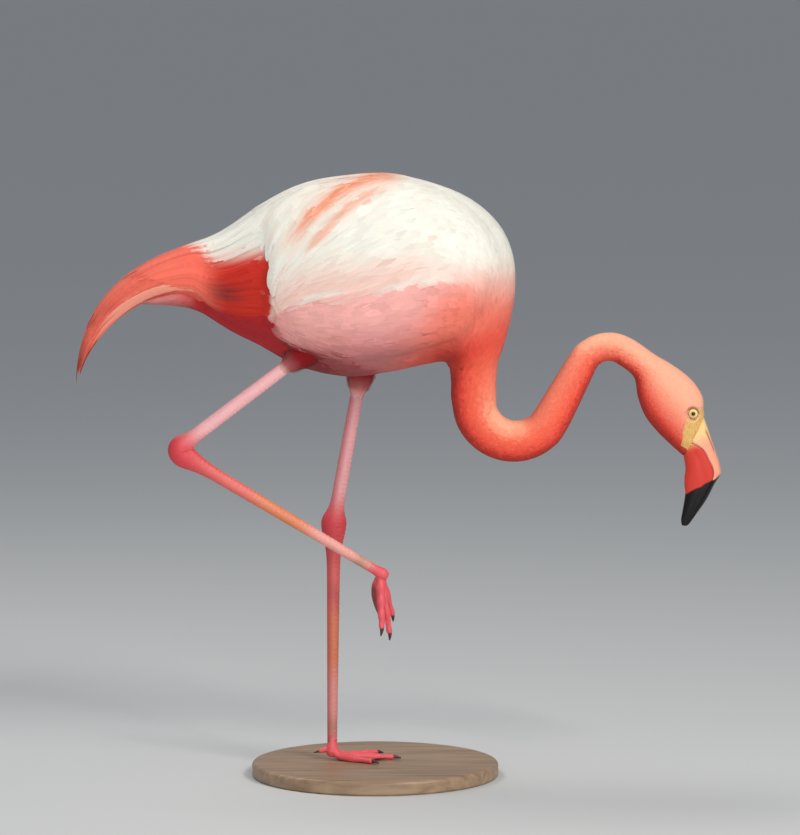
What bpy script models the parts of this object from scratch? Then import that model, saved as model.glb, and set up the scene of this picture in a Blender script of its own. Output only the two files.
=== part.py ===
"""A life-size standing model of an American flamingo, feeding with its right foot lifted.

Frame: +X is the way the bird faces, +Y is its left side and +Z is up. The base stands on Z = 0, and the
origin is under the middle of the bird's length. Everything is in metres. All pieces hang from one empty,
over the middle of the base and level with the bird's sole, that their positions are counted from.

The trunk, neck and head are one smooth surface, cut across into named lengths with thin gaps. That
surface runs through cross-sections, each set by a point on its belly side, a point on its back side and
a half width. The neck's sections are worked out from two arcs.
"""

import math

import bmesh
import bpy
import numpy as np

# Driving dimensions.
MIDDLE_X = 0.0269  # the middle of the bird's length, counted from the empty
CUT = 0.0005  # the thin cut between two neighbouring pieces
STAND_RADIUS = 0.140
STAND_HEIGHT = 0.016
SKIN_CLEARANCE = 0.0023  # between the trunk and what lies over its curved side
SECTION_POWER = 2.15  # of the superellipse that each body section follows; 2 is an ellipse

# (belly x, belly z, back x, back z, half width) from the rump forward to the breast, where the
# sections fan round the corner between belly and neck.
TRUNK_ROWS = (
    (-0.192, 0.510, -0.192, 0.582, 0.029),
    (-0.162, 0.491, -0.164, 0.596, 0.044),
    (-0.130, 0.475, -0.128, 0.622, 0.059),
    (-0.085, 0.451, -0.081, 0.648, 0.074),
    (-0.032, 0.440, -0.032, 0.661, 0.084),
    (0.017, 0.445, 0.018, 0.6665, 0.086),
    (0.049, 0.452, 0.064, 0.658, 0.083),
    (0.070, 0.456, 0.107, 0.640, 0.078),
    (0.079, 0.456, 0.139, 0.612, 0.070),
    (0.081, 0.454, 0.155, 0.578, 0.061),
    (0.082, 0.452, 0.158, 0.543, 0.052),
    (0.084, 0.449, 0.154, 0.510, 0.043),
    (0.085, 0.443, 0.146, 0.477, 0.034),
    (0.086, 0.433, 0.138, 0.450, 0.028),
)

# The neck hangs in a bow, climbs along the tangent of both arcs and bends over a crest.
BOW_CENTRE, BOW_RADIUS = (0.158, 0.412), 0.0463
CREST_CENTRE, CREST_RADIUS = (0.264, 0.439), 0.0339
CREST_END_HEADING = math.radians(-34)
NECK_HALF_DEPTH = ((0.0, 0.0252), (0.35, 0.0228), (0.65, 0.0190), (0.85, 0.0158), (1.0, 0.0162))
NECK_WIDTH_RATIO = 0.93

# The same five columns from the nape to the base of the bill.
HEAD_ROWS = (
    (0.292, 0.439, 0.316, 0.464, 0.0160),
    (0.297, 0.416, 0.333, 0.454, 0.0188),
    (0.305, 0.395, 0.350, 0.442, 0.0212),
    (0.318, 0.378, 0.362, 0.430, 0.0215),
    (0.331, 0.365, 0.370, 0.416, 0.0196),
    (0.342, 0.355, 0.3713, 0.403, 0.0165),
    (0.350, 0.348, 0.3723, 0.394, 0.0140),
)

# (ridge x, z, mouth line x, z, underside x, z, half width) down the bent bill; the first row is worked
# out from the head's last section.
BILL_MOUTH_SHARE = 0.36  # how far up the bill's base the mouth line starts
BILL_ROWS = (
    (0.3800, 0.3690, 0.3705, 0.357, 0.3510, 0.335, 0.0128),
    (0.3862, 0.3510, 0.3775, 0.345, 0.3500, 0.324, 0.0124),
    (0.3905, 0.3370, 0.3818, 0.335, 0.3500, 0.315, 0.0118),
    (0.3908, 0.3285, 0.3820, 0.326, 0.3510, 0.307, 0.0110),
    (0.3842, 0.3170, 0.3775, 0.314, 0.3500, 0.298, 0.0098),
    (0.375, 0.299, 0.369, 0.298, 0.348, 0.286, 0.0076),
    (0.364, 0.283, 0.360, 0.282, 0.3465, 0.276, 0.0048),
    (0.3545, 0.2695, 0.3525, 0.2692, 0.3475, 0.2685, 0.0020),
)

EYE_CENTRE = (0.3585, 0.3988)  # x, z
EYE_RADIUS = 0.0072
EYE_OUT = 0.0128  # the eyeball's centre from the middle plane

# The folded wing is a patch on the trunk's side. Each row: how far from shoulder (0) to rump (1), its
# upper and lower edge in degrees round the section from the back line, and the thickness of its upper
# edge, its middle and its lower edge.
WING_SHOULDER_ROW = 8.9  # counted in TRUNK_ROWS
WING_ROWS = (
    (0.00, 82, 96, 0.0012, 0.0016, 0.0012),
    (0.05, 58, 112, 0.0012, 0.0060, 0.0012),
    (0.14, 40, 124, 0.0012, 0.0092, 0.0015),
    (0.30, 26, 134, 0.0014, 0.0100, 0.0022),
    (0.50, 14, 137, 0.0030, 0.0100, 0.0026),
    (0.72, 4, 132, 0.0070, 0.0100, 0.0026),
    (1.00, 3, 120, 0.0090, 0.0095, 0.0030),
)

# The drooping back plumes curl round one arc behind the rump. Each row: how far along the arc, the half
# depth and half width outside, the lower edge in degrees from the ridge, and the thickness.
PLUME_CENTRE, PLUME_RADIUS = (-0.194, 0.4135), 0.1435
PLUME_TURN = math.radians(81)
PLUME_TOP_EDGE = 3
PLUME_ROWS = (
    (0.00, 0.0370, 0.0385, 118, 0.0085),
    (0.12, 0.0290, 0.0380, 116, 0.0065),
    (0.28, 0.0235, 0.0360, 116, 0.0050),
    (0.50, 0.0185, 0.0275, 118, 0.0042),
    (0.70, 0.0125, 0.0185, 120, 0.0036),
    (0.86, 0.0065, 0.0100, 122, 0.0026),
    (1.00, 0.0018, 0.0030, 124, 0.0014),
)

TAIL_ROWS = (
    (-0.1930, 0.511, -0.1930, 0.570, 0.0250),
    (-0.2100, 0.517, -0.2100, 0.553, 0.0270),
    (-0.2300, 0.520, -0.2300, 0.540, 0.0290),
    (-0.2500, 0.521, -0.2500, 0.532, 0.0290),
    (-0.2660, 0.523, -0.2660, 0.5275, 0.0200),
)

# Each leg: hip, ankle and toe joint as (x, y, z), and where its pieces start and end.
LEGS = {
    "right": ((-0.052, -0.038, 0.490), (-0.2245, -0.034, 0.3585), (0.007, -0.030, 0.219)),
    "left": ((-0.007, 0.036, 0.490), (-0.047, 0.022, 0.270), (-0.049, 0.008, 0.0115)),
}
THIGH_LENGTH = {"right": 0.062, "left": 0.076}
THIGH_RADII = {"right": (0.0200, 0.0090), "left": (0.0240, 0.0095)}
ANKLE_REACH = 0.024  # of the ankle's knob, each way from its middle
ANKLE_BEND_RADIUS = 0.010
SHANK_HALF_DEPTH = (0.0066, 0.0073)  # of the bare shin, at its top and its foot
TARSUS_FOOT_HALF_DEPTH = 0.0055
KNOB_HALF_DEPTH = 0.0066  # that the ankle adds at its middle
KNOB_FADE = (0.0135, 0.0185)  # how far it reaches up the shin and down the tarsus
LEG_WIDTH_RATIO = 0.84
KNOB_WIDTH_RATIO = 0.50
LEG_SIDES = 12

# Toes: name, degrees from the middle toe (outer side positive), length to the claw.
TOES = (("inner", -33, 0.055), ("middle", 0, 0.071), ("outer", 33, 0.063))
TOE_RADII = (0.0050, 0.0030)
CLAW_LENGTH = 0.009
PALM_HALF_LENGTH = 0.0085
CLAW_RADII = (0.0026, 0.0007)
WEB_HALF_THICKNESS = 0.0009
WEB_SCALLOP = 0.24  # how deep the web's front edge curves in
TOE_SINK = 0.12  # of a toe's radius that its flat pads cut off
HALLUX_LENGTH = 0.013

COLOURS = {
    "plumage_white": (0.87, 0.80, 0.70),
    "plumage_pink": (0.80, 0.42, 0.38),
    "plumage_coral": (0.85, 0.16, 0.09),
    "plumage_red": (0.60, 0.06, 0.04),
    "bill": (0.78, 0.20, 0.12),
    "eye": (0.85, 0.72, 0.35),
    "leg_skin": (0.72, 0.25, 0.24),
    "claw": (0.08, 0.04, 0.035),
    "stand_wood": (0.30, 0.19, 0.11),
}
ROUGHNESS = {"bill": 0.35, "eye": 0.08, "leg_skin": 0.55, "claw": 0.35}
PLUMAGE_ROUGHNESS = 0.85


def clear_scene():
    for old in list(bpy.data.objects):
        bpy.data.objects.remove(old, do_unlink=True)


def new_collection(name):
    made = bpy.data.collections.new(name)
    bpy.context.scene.collection.children.link(made)
    return made


clear_scene()
FLAMINGO = new_collection("flamingo")
CUTTERS = new_collection("cutters")
MEASURED_FROM = bpy.data.objects.new("measured_from", None)
MEASURED_FROM.location = (-MIDDLE_X, 0, STAND_HEIGHT + CUT)
FLAMINGO.objects.link(MEASURED_FROM)


def material(slot):
    found = bpy.data.materials.get(slot)
    if found:
        return found
    made = bpy.data.materials.new(slot)
    made.use_nodes = True
    shader = made.node_tree.nodes["Principled BSDF"]
    shader.inputs["Base Color"].default_value = (*COLOURS[slot], 1)
    shader.inputs["Roughness"].default_value = ROUGHNESS.get(slot, PLUMAGE_ROUGHNESS)
    shader.inputs["Metallic"].default_value = 0.0
    return made


def solid(name, points, faces, slot, helper=False):
    """A mesh object from points and faces, with its faces turned outwards."""
    mesh = bpy.data.meshes.new(name)
    mesh.from_pydata([tuple(p) for p in points], [], faces)
    bm = bmesh.new()
    bm.from_mesh(mesh)
    bmesh.ops.recalc_face_normals(bm, faces=bm.faces)
    bm.to_mesh(mesh)
    bm.free()
    return placed(name, mesh, slot, helper)


def placed(name, mesh, slot, helper=False):
    mesh.shade_smooth()
    mesh.materials.append(material(slot))
    made = bpy.data.objects.new(name, mesh)
    made.parent = MEASURED_FROM
    if helper:
        made.hide_render = True
        made.display_type = "WIRE"
    (CUTTERS if helper else FLAMINGO).objects.link(made)
    return made


def boolean(target, cutter, operation):
    modifier = target.modifiers.new(f"{operation.lower()}_{cutter.name}", "BOOLEAN")
    modifier.operation = operation
    modifier.object = cutter
    modifier.solver = "EXACT"


def spline(rows, at):
    """The Catmull-Rom curve through the rows, at positions counted in rows."""
    rows = np.asarray(rows, float)
    ends = np.vstack([2 * rows[0] - rows[1], rows, 2 * rows[-1] - rows[-2]])
    at = np.clip(np.atleast_1d(np.asarray(at, float)), 0, len(rows) - 1)
    first = np.minimum(at.astype(int), len(rows) - 2)
    f = (at - first)[:, None]
    a, b, c, d = (ends[first + k] for k in range(4))
    return 0.5 * (2 * b + (c - a) * f + (2 * a - 5 * b + 4 * c - d) * f**2 + (3 * b - a - 3 * c + d) * f**3)


def keyed(rows, at):
    """Columns 1.. of the rows, interpolated linearly over column 0."""
    rows = np.asarray(rows, float)
    at = np.atleast_1d(at)
    return np.stack([np.interp(at, rows[:, 0], rows[:, k]) for k in range(1, rows.shape[1])], axis=1)


def eased(rows, at):
    """keyed(), with the corners at the rows rounded by a spline."""
    rows = np.asarray(rows, float)
    position = np.interp(np.atleast_1d(at), rows[:, 0], np.arange(len(rows)))
    return spline(rows[:, 1:], position)


def neck_rows():
    """Section rows along the bow, its tangent and the crest."""
    (bx, bz), (cx, cz) = BOW_CENTRE, CREST_CENTRE
    between = math.hypot(cx - bx, cz - bz)
    climb = math.atan2(cz - bz, cx - bx) + math.asin((BOW_RADIUS + CREST_RADIUS) / between)
    headings = [*np.linspace(-math.pi / 2, climb, 7), *np.linspace(climb, CREST_END_HEADING, 5)]
    centres = [(bx, bz, BOW_RADIUS, 1)] * 7 + [(cx, cz, CREST_RADIUS, -1)] * 5
    middles = [
        (x + turn * radius * math.sin(heading), z - turn * radius * math.cos(heading))
        for heading, (x, z, radius, turn) in zip(headings, centres)
    ]
    steps = [math.dist(p, q) for p, q in zip(middles, middles[1:])]
    shares = np.concatenate([[0], np.cumsum(steps)]) / sum(steps)
    rows = []
    for (x, z), heading, share in zip(middles, headings, shares):
        half = float(keyed(NECK_HALF_DEPTH, share)[0, 0])
        nx, nz = -math.sin(heading) * half, math.cos(heading) * half
        rows.append((x - nx, z - nz, x + nx, z + nz, half * NECK_WIDTH_RATIO))
    return tuple(rows)


NECK_ROWS = neck_rows()
BODY_ROWS = TRUNK_ROWS + NECK_ROWS + HEAD_ROWS
NECK_START = len(TRUNK_ROWS) - 1
HEAD_START = len(TRUNK_ROWS) + len(NECK_ROWS) - 0.5
BODY_END = len(BODY_ROWS) - 1


def section_points(rows, degrees, extra=0.0):
    """Points round each row's section: 0 degrees is the back side, 90 the bird's left, 180 the belly."""
    belly, back, half_width = rows[:, None, 0:2], rows[:, None, 2:4], rows[:, 4:5] + extra
    middle = (belly + back) / 2
    reach = (back - belly) / 2
    length = np.linalg.norm(reach, axis=2, keepdims=True)
    reach = reach * (length + extra) / length
    angle = np.radians(degrees)
    power = 2 / SECTION_POWER
    along = np.sign(np.cos(angle)) * np.abs(np.cos(angle)) ** power
    across = np.sign(np.sin(angle)) * np.abs(np.sin(angle)) ** power
    flat = middle + reach * along[..., None]
    return np.stack([flat[..., 0], np.broadcast_to(half_width * across, flat.shape[:2]), flat[..., 1]], axis=-1)


def even_positions(rows, start, end, step):
    """Positions from start to end, about a step apart where the section's outer side moves fastest."""
    fine = np.linspace(start, end, 400)
    at = spline(rows, fine)
    moves = np.diff(at, axis=0)
    fastest = np.maximum(np.hypot(moves[:, 0], moves[:, 1]), np.hypot(moves[:, 2], moves[:, 3]))
    gone = np.concatenate([[0], np.cumsum(fastest)])
    count = max(2, round(gone[-1] / step) + 1)
    return np.interp(np.linspace(0, gone[-1], count), gone, fine)


def tube_faces(rings, sides):
    """Quads between successive rings, and a flat cap on each end."""
    faces = [tuple(range(sides)), tuple(range((rings - 1) * sides, rings * sides))]
    for i in range(rings - 1):
        for j in range(sides):
            k = (j + 1) % sides
            faces.append((i * sides + j, i * sides + k, (i + 1) * sides + k, (i + 1) * sides + j))
    return faces


def tube(name, rings, slot, **how):
    count, sides = rings.shape[:2]
    return solid(name, rings.reshape(-1, 3), tube_faces(count, sides), slot, **how)


def cut_back(rows, start, end):
    """The rows with half a cut taken off each end, along the way the sections run."""
    rows = rows.copy()
    for i, j, wanted in ((0, 1, start), (-1, -2, end)):
        if wanted:
            inwards = (rows[j, 0:2] + rows[j, 2:4]) / 2 - (rows[i, 0:2] + rows[i, 2:4]) / 2
            depth = rows[i, 2:4] - rows[i, 0:2]
            normal = np.array([-depth[1], depth[0]]) / np.linalg.norm(depth)
            shift = normal * np.sign(normal @ inwards) * CUT / 2
            rows[i, 0:2] += shift
            rows[i, 2:4] += shift
    return rows


def body_length(name, start, end, step, sides, slot, cut_start=True, cut_end=True, **how):
    """One length of the trunk, neck and head surface, between two positions in BODY_ROWS."""
    rows = spline(BODY_ROWS, even_positions(BODY_ROWS, start, end, step))
    rows = cut_back(rows, cut_start, cut_end)
    degrees = np.arange(sides)[None, :] * 360 / sides
    return tube(name, section_points(rows, degrees), slot, **how)


def shell(name, outer, inner, slot, helper=False):
    """A closed plate between two grids of points of the same size."""
    along, across = outer.shape[:2]
    count = along * across

    def at(i, j, layer):
        return layer * count + i * across + j

    faces = []
    for i in range(along - 1):
        for j in range(across - 1):
            for layer in (0, 1):
                quad = [at(i, j, layer), at(i + 1, j, layer), at(i + 1, j + 1, layer), at(i, j + 1, layer)]
                faces.append(tuple(quad if layer == 0 else quad[::-1]))
    for i in range(along - 1):
        for j in (0, across - 1):
            faces.append((at(i, j, 0), at(i + 1, j, 0), at(i + 1, j, 1), at(i, j, 1)))
    for j in range(across - 1):
        for i in (0, along - 1):
            faces.append((at(i, j, 0), at(i, j + 1, 0), at(i, j + 1, 1), at(i, j, 1)))
    return solid(name, np.concatenate([outer.reshape(-1, 3), inner.reshape(-1, 3)]), faces, slot, helper)


def body_surface(position, degrees):
    """Points and outward normals of the body surface on a grid of positions and degrees."""
    nudge, small = 1e-3, 0.1

    def at(p, d):
        return section_points(spline(BODY_ROWS, p.ravel()), d.reshape(-1, 1)).reshape(*p.shape, 3)

    points = at(position, degrees)
    along = at(position + nudge, degrees) - at(position - nudge, degrees)
    around = at(position, degrees + small) - at(position, degrees - small)
    normal = np.cross(along, around)
    return points, normal / np.linalg.norm(normal, axis=-1, keepdims=True)


def build_trunk_neck_head():
    body_length("trunk", 0, NECK_START, 0.0200, 26, "plumage_white", cut_start=False)
    thirds = np.linspace(NECK_START, HEAD_START, 4)
    for name, start, end in zip(("neck_base", "neck_middle", "neck_top"), thirds, thirds[1:]):
        body_length(name, start, end, 0.0120, 16, "plumage_coral")
    return body_length("head", HEAD_START, BODY_END, 0.0072, 20, "plumage_coral", cut_end=False)


def build_eyes(head):
    for side, sign in (("left", 1), ("right", -1)):
        centre = (EYE_CENTRE[0], sign * EYE_OUT, EYE_CENTRE[1])
        for name, radius, helper in ((f"eye_{side}", EYE_RADIUS, False), (f"socket_{side}", EYE_RADIUS + CUT, True)):
            mesh = bpy.data.meshes.new(name)
            bm = bmesh.new()
            bmesh.ops.create_uvsphere(bm, u_segments=14, v_segments=8, radius=radius)
            bm.to_mesh(mesh)
            bm.free()
            made = placed(name, mesh, "eye", helper=helper)
            made.location = centre
            if helper:
                boolean(head, made, "DIFFERENCE")


def half_round(origin, reach, half_width, arc_points, flat_points):
    """A closed D in the plane of reach and Y: a half ellipse from the flat out to reach, and the flat."""
    arc = np.linspace(-math.pi / 2, math.pi / 2, arc_points)
    outline = [(math.cos(a), math.sin(a)) for a in arc]
    outline += [(0.0, side) for side in np.linspace(1, -1, flat_points + 2)[1:-1]]
    return [
        (origin[0] + reach[0] * out, half_width * side, origin[1] + reach[1] * out) for out, side in outline
    ]


def build_bill():
    """Each half of the bill is a row of D sections, with their flats along the mouth line."""
    end = np.array(BODY_ROWS[-1])
    belly, back = end[0:2], end[2:4]
    depth = (back - belly) / np.linalg.norm(back - belly)
    clear = np.array([depth[1], -depth[0]]) * CUT
    mouth = belly + BILL_MOUTH_SHARE * (back - belly)
    first = (*(back + clear), *(mouth + clear), *(belly + clear), end[4] * 0.95)
    rows = np.array([first, *BILL_ROWS])
    rows = spline(rows, np.linspace(0, len(rows) - 1, 14))
    for name, column in (("bill_upper", 0), ("bill_lower", 4)):
        rings = []
        for row in rows:
            edge, middle = row[column : column + 2], row[2:4]
            away = (edge - middle) / np.linalg.norm(edge - middle)
            origin = middle + away * CUT / 2
            rings.append(half_round(origin, edge - origin, row[6], 9, 2))
        tube(name, np.array(rings), "bill")


def build_wings():
    shares = np.concatenate([np.linspace(0, 0.14, 4), np.linspace(0.14, 1, 12)[1:]])
    rows = eased(WING_ROWS, shares)
    upper, lower, upper_thick, middle_thick, lower_thick = (rows[:, k : k + 1] for k in range(5))
    across = np.linspace(0, 1, 10)[None, :]
    bulge = np.sin(math.pi * across) ** 0.7
    edge = upper_thick * (1 - across) + lower_thick * across
    thick = edge + (middle_thick - edge) * bulge
    degrees = upper + (lower - upper) * across
    position = np.broadcast_to(WING_SHOULDER_ROW * (1 - shares)[:, None], degrees.shape)
    for side, sign in (("left", 1), ("right", -1)):
        points, normal = body_surface(position, degrees * sign)
        inner = points + normal * SKIN_CLEARANCE
        outer = inner + normal * thick[..., None]
        for grid in (inner, outer):
            grid[..., 1] = sign * np.maximum(sign * grid[..., 1], CUT)
        inner[-1, :, 0] = outer[-1, :, 0] = TRUNK_ROWS[0][0] + CUT / 2
        shell(f"wing_{side}", outer, inner, "plumage_pink")


def plume_grid(rows, shares, sign, inset):
    """Points of one layer of the plume shell: an arc of an ellipse at each step round the plume's arc."""
    turn = shares * PLUME_TURN
    out = np.stack([-np.sin(turn), np.cos(turn)], axis=1)
    middle = np.array(PLUME_CENTRE) + out * PLUME_RADIUS
    depth, width, lower = rows[:, 0] - inset, rows[:, 1] - inset, rows[:, 2]
    degrees = PLUME_TOP_EDGE + (lower[:, None] - PLUME_TOP_EDGE) * np.linspace(0, 1, 8)[None, :]
    angle = np.radians(degrees)
    flat = middle[:, None, :] + out[:, None, :] * (depth[:, None] * np.cos(angle))[..., None]
    lateral = sign * np.maximum(width[:, None] * np.sin(angle), CUT)
    grid = np.stack([flat[..., 0], lateral, flat[..., 1]], axis=-1)
    grid[0, :, 0] -= CUT / 2
    return grid


def build_plumes():
    shares = np.linspace(0, 1, 13)
    rows = eased(PLUME_ROWS, shares)
    for side, sign in (("left", 1), ("right", -1)):
        outer = plume_grid(rows, shares, sign, 0 * rows[:, 3])
        inner = plume_grid(rows, shares, sign, rows[:, 3])
        shell(f"plumes_{side}", outer, inner, "plumage_red")


def build_tail():
    rows = spline(TAIL_ROWS, np.linspace(0, len(TAIL_ROWS) - 1, 9))
    degrees = np.arange(16)[None, :] * 22.5
    tube("tail", section_points(rows, degrees), "plumage_red")


def leg_path(hip, ankle, toe, count=240):
    """Points from hip to toe joint with the ankle's corner rounded, and the distance along them."""
    hip, ankle, toe = (np.array(p, float) for p in (hip, ankle, toe))
    down, on = ankle - hip, toe - ankle
    down_unit, on_unit = down / np.linalg.norm(down), on / np.linalg.norm(on)
    turn = math.acos(float(np.clip(down_unit @ on_unit, -1, 1)))
    back = ANKLE_BEND_RADIUS * math.tan(turn / 2)
    enter, leave = ankle - down_unit * back, ankle + on_unit * back
    f = np.linspace(0, 1, count)[:, None]
    corner = (1 - f) ** 2 * enter + 2 * f * (1 - f) * ankle + f**2 * leave
    path = np.concatenate([hip + (enter - hip) * f[:-1], corner[:-1], leave + (toe - leave) * f])
    gone = np.concatenate([[0], np.cumsum(np.linalg.norm(np.diff(path, axis=0), axis=1))])
    return path, gone, float(gone[count - 1 + count // 2])


def limb(name, path, gone, starts, ends, count, half, slot, **how):
    """A tube along part of a leg's path; half(distance) gives its half depth and half width."""
    at = np.linspace(starts, ends, count)
    middle = np.stack([np.interp(at, gone, path[:, k]) for k in range(3)], axis=1)
    ahead = np.stack([np.interp(at + 0.001, gone, path[:, k]) for k in range(3)], axis=1)
    behind = np.stack([np.interp(at - 0.001, gone, path[:, k]) for k in range(3)], axis=1)
    heading = (ahead - behind) / np.linalg.norm(ahead - behind, axis=1, keepdims=True)
    across = np.array([0.0, 1.0, 0.0]) - heading * heading[:, 1:2]
    across /= np.linalg.norm(across, axis=1, keepdims=True)
    front = np.cross(across, heading)
    angle = np.arange(LEG_SIDES) * 2 * math.pi / LEG_SIDES
    deep, wide = half(at)
    rings = (
        middle[:, None, :]
        + front[:, None, :] * (deep[:, None] * np.cos(angle))[..., None]
        + across[:, None, :] * (wide[:, None] * np.sin(angle))[..., None]
    )
    return tube(name, rings, slot, **how)


def trunk_clearance():
    """The trunk made a little larger, to cut back what grows out of it."""
    rows = spline(BODY_ROWS, even_positions(BODY_ROWS, 0, NECK_START, 0.012))
    degrees = np.arange(40)[None, :] * 9
    return tube(
        "trunk_clearance", section_points(rows, degrees, SKIN_CLEARANCE), "plumage_white", helper=True
    )


def bare_leg_half(top_at, ankle_at, foot_at):
    """Half depth and width along the bare leg: the shin, the ankle's knob and the tapering tarsus."""

    def half(at):
        plain = np.interp(at, (top_at, ankle_at, foot_at), (*SHANK_HALF_DEPTH, TARSUS_FOOT_HALF_DEPTH))
        fade = np.where(at < ankle_at, *KNOB_FADE)
        knob = KNOB_HALF_DEPTH * np.exp(-(((at - ankle_at) / fade) ** 2))
        return plain + knob, plain * LEG_WIDTH_RATIO + knob * KNOB_WIDTH_RATIO

    return half


def build_leg(side, clearance):
    path, gone, ankle_at = leg_path(*LEGS[side])
    length = THIGH_LENGTH[side]
    top, bottom = THIGH_RADII[side]

    def thigh_half(at):
        wide = top + (bottom - top) * np.clip(at / length, 0, 1) ** 0.8
        return wide * 1.1, wide

    thigh = limb(f"thigh_{side}", path, gone, 0, length, 6, thigh_half, "plumage_white")
    boolean(thigh, clearance, "DIFFERENCE")
    half = bare_leg_half(length, ankle_at, gone[-1])
    knee_side, toe_side = ankle_at - ANKLE_REACH, ankle_at + ANKLE_REACH
    limb(f"shank_{side}", path, gone, length + CUT, knee_side - CUT, 5, half, "leg_skin")
    limb(f"ankle_{side}", path, gone, knee_side, toe_side, 10, half, "leg_skin")
    limb(f"tarsus_{side}", path, gone, toe_side + CUT, gone[-1] - PALM_HALF_LENGTH - CUT, 6, half, "leg_skin")


def foot_axes(forward, up):
    """Unit axes of a foot: ahead along the middle toe, to the bird's left, and out of its upper side."""
    forward = np.array(forward, float) / np.linalg.norm(forward)
    up = np.array(up, float) - forward * (forward @ np.array(up, float))
    up /= np.linalg.norm(up)
    return forward, np.cross(up, forward), up


def toe_line(length, share, lift, curl):
    """A toe's middle line as distance ahead and height, from the joint down to the ground and along."""
    settle = np.clip(1 - share / 0.3, 0, 1) ** 2
    return length * share * (1 - 0.04 * curl), lift * settle - curl * length * share**2


def foot(side, joint, forward, up, spread, curl, height, hind=(-0.97, -0.25)):
    """Three front toes with webs, a small hind toe and their claws, about the toe joint."""
    ahead, left, top = foot_axes(forward, up)
    joint = np.array(joint, float)
    outer_sign = 1 if side == "left" else -1

    def place(local):
        local = np.asarray(local, float)
        return joint + local[..., 0:1] * ahead + local[..., 1:2] * left + local[..., 2:3] * top

    def toe_middle(share, degrees, length):
        out, rise = toe_line(length, share, height - TOE_RADII[0], curl)
        yaw = math.radians(degrees * spread) * outer_sign
        rest = np.interp(share, (0, 1), TOE_RADII)
        up = rise + rest * (1 - TOE_SINK) - height
        return np.stack([out * math.cos(yaw), out * math.sin(yaw), up], axis=-1)

    def toe_tube(name, middle, radii, sides, slot, **how):
        heading = np.gradient(middle, axis=0)
        heading /= np.linalg.norm(heading, axis=1, keepdims=True)
        across = np.cross((0.0, 0.0, 1.0), heading)
        across /= np.linalg.norm(across, axis=1, keepdims=True)
        over = np.cross(heading, across)
        angle = (np.arange(sides) + 0.5) * 2 * math.pi / sides
        rings = (
            middle[:, None, :]
            + over[:, None, :] * (radii[:, None] * np.cos(angle))[..., None]
            + across[:, None, :] * (radii[:, None] * np.sin(angle))[..., None]
        )
        return tube(name, place(rings), slot, **how)

    share = np.linspace(0, 1, 6)
    knuckles = 1 + 0.10 * np.cos(share * 6 * math.pi)
    shin = joint - np.array(LEGS[side][1])
    shin /= np.linalg.norm(shin)
    across = np.cross(shin, (1.0, 0.0, 0.0) if side == "left" else (0.0, 1.0, 0.0))
    across /= np.linalg.norm(across)
    ball = np.linspace(-1, 1, 7)
    palm_radii = np.interp(ball, (-1, -0.4, 0.2, 1), (TARSUS_FOOT_HALF_DEPTH, 0.0066, 0.0072, 0.0045))
    angle = np.arange(10) * math.pi / 5
    rings = (
        joint
        + PALM_HALF_LENGTH * ball[:, None, None] * shin
        + across * (palm_radii[:, None] * np.cos(angle))[..., None]
        + np.cross(shin, across) * (palm_radii[:, None] * np.sin(angle))[..., None]
    )
    palm = tube(f"foot_{side}", rings, "leg_skin")
    for name, degrees, length in TOES:
        middle = toe_middle(share, degrees, length)
        plain = np.interp(share, (0, 1), TOE_RADII)
        radii, radii_before = plain * knuckles, plain[-2]
        joined = toe_tube(f"toe_{name}_{side}", middle, radii, 8, "leg_skin", helper=True)
        boolean(palm, joined, "UNION")
        claw_share = np.linspace(0, 1, 4)
        thick = CLAW_RADII[0] + (CLAW_RADII[1] - CLAW_RADII[0]) * claw_share**1.4
        step = middle[-1] - middle[-2] - (0, 0, TOE_RADII[1] - radii_before)
        step /= np.linalg.norm(step)
        claw = middle[-1] + step * (CUT + CLAW_LENGTH * claw_share[:, None])
        claw[:, 2] += thick - TOE_RADII[1] * (1 - TOE_SINK) + CUT
        toe_tube(f"claw_{name}_{side}", claw, thick, 6, "claw")
    for first, second in ((TOES[0], TOES[1]), (TOES[1], TOES[2])):
        fan = np.linspace(0, 1, 5)[None, :, None]
        reach = np.linspace(0.12, 0.93, 5)[:, None]
        start = toe_middle(reach[:, 0], first[1], first[2])[:, None, :]
        end = toe_middle(reach[:, 0], second[1], second[2])[:, None, :]
        sheet = start + (end - start) * fan
        pull = 1 - WEB_SCALLOP * np.sin(math.pi * fan) * reach[:, :, None] ** 3
        sheet = sheet * np.concatenate([pull, pull, np.ones_like(pull)], axis=2)
        lift = np.array([0, 0, WEB_HALF_THICKNESS])
        upper, lower = place(sheet + lift), place(sheet - lift)
        web = shell(f"web_{first[0]}_{side}", upper, lower, "leg_skin", helper=True)
        boolean(palm, web, "UNION")
    hind_share = np.linspace(0, 1, 4)[:, None]
    hind_way = np.array([hind[0], 0, hind[1]])
    hind_start = np.array([0, 0, 0.002]) + hind_way * 0.003
    hind_line = hind_start + hind_way * HALLUX_LENGTH * hind_share
    hind_radii = 0.0034 - 0.0010 * hind_share[:, 0]
    hallux = toe_tube(f"hallux_{side}", hind_line, hind_radii, 8, "leg_skin", helper=True)
    boolean(palm, hallux, "UNION")
    spur = hind_line[-1] + hind_way * (CUT + 0.0055 * hind_share)
    toe_tube(f"claw_hind_{side}", spur, 0.0018 - 0.0012 * hind_share[:, 0], 6, "claw")
    return palm


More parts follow.
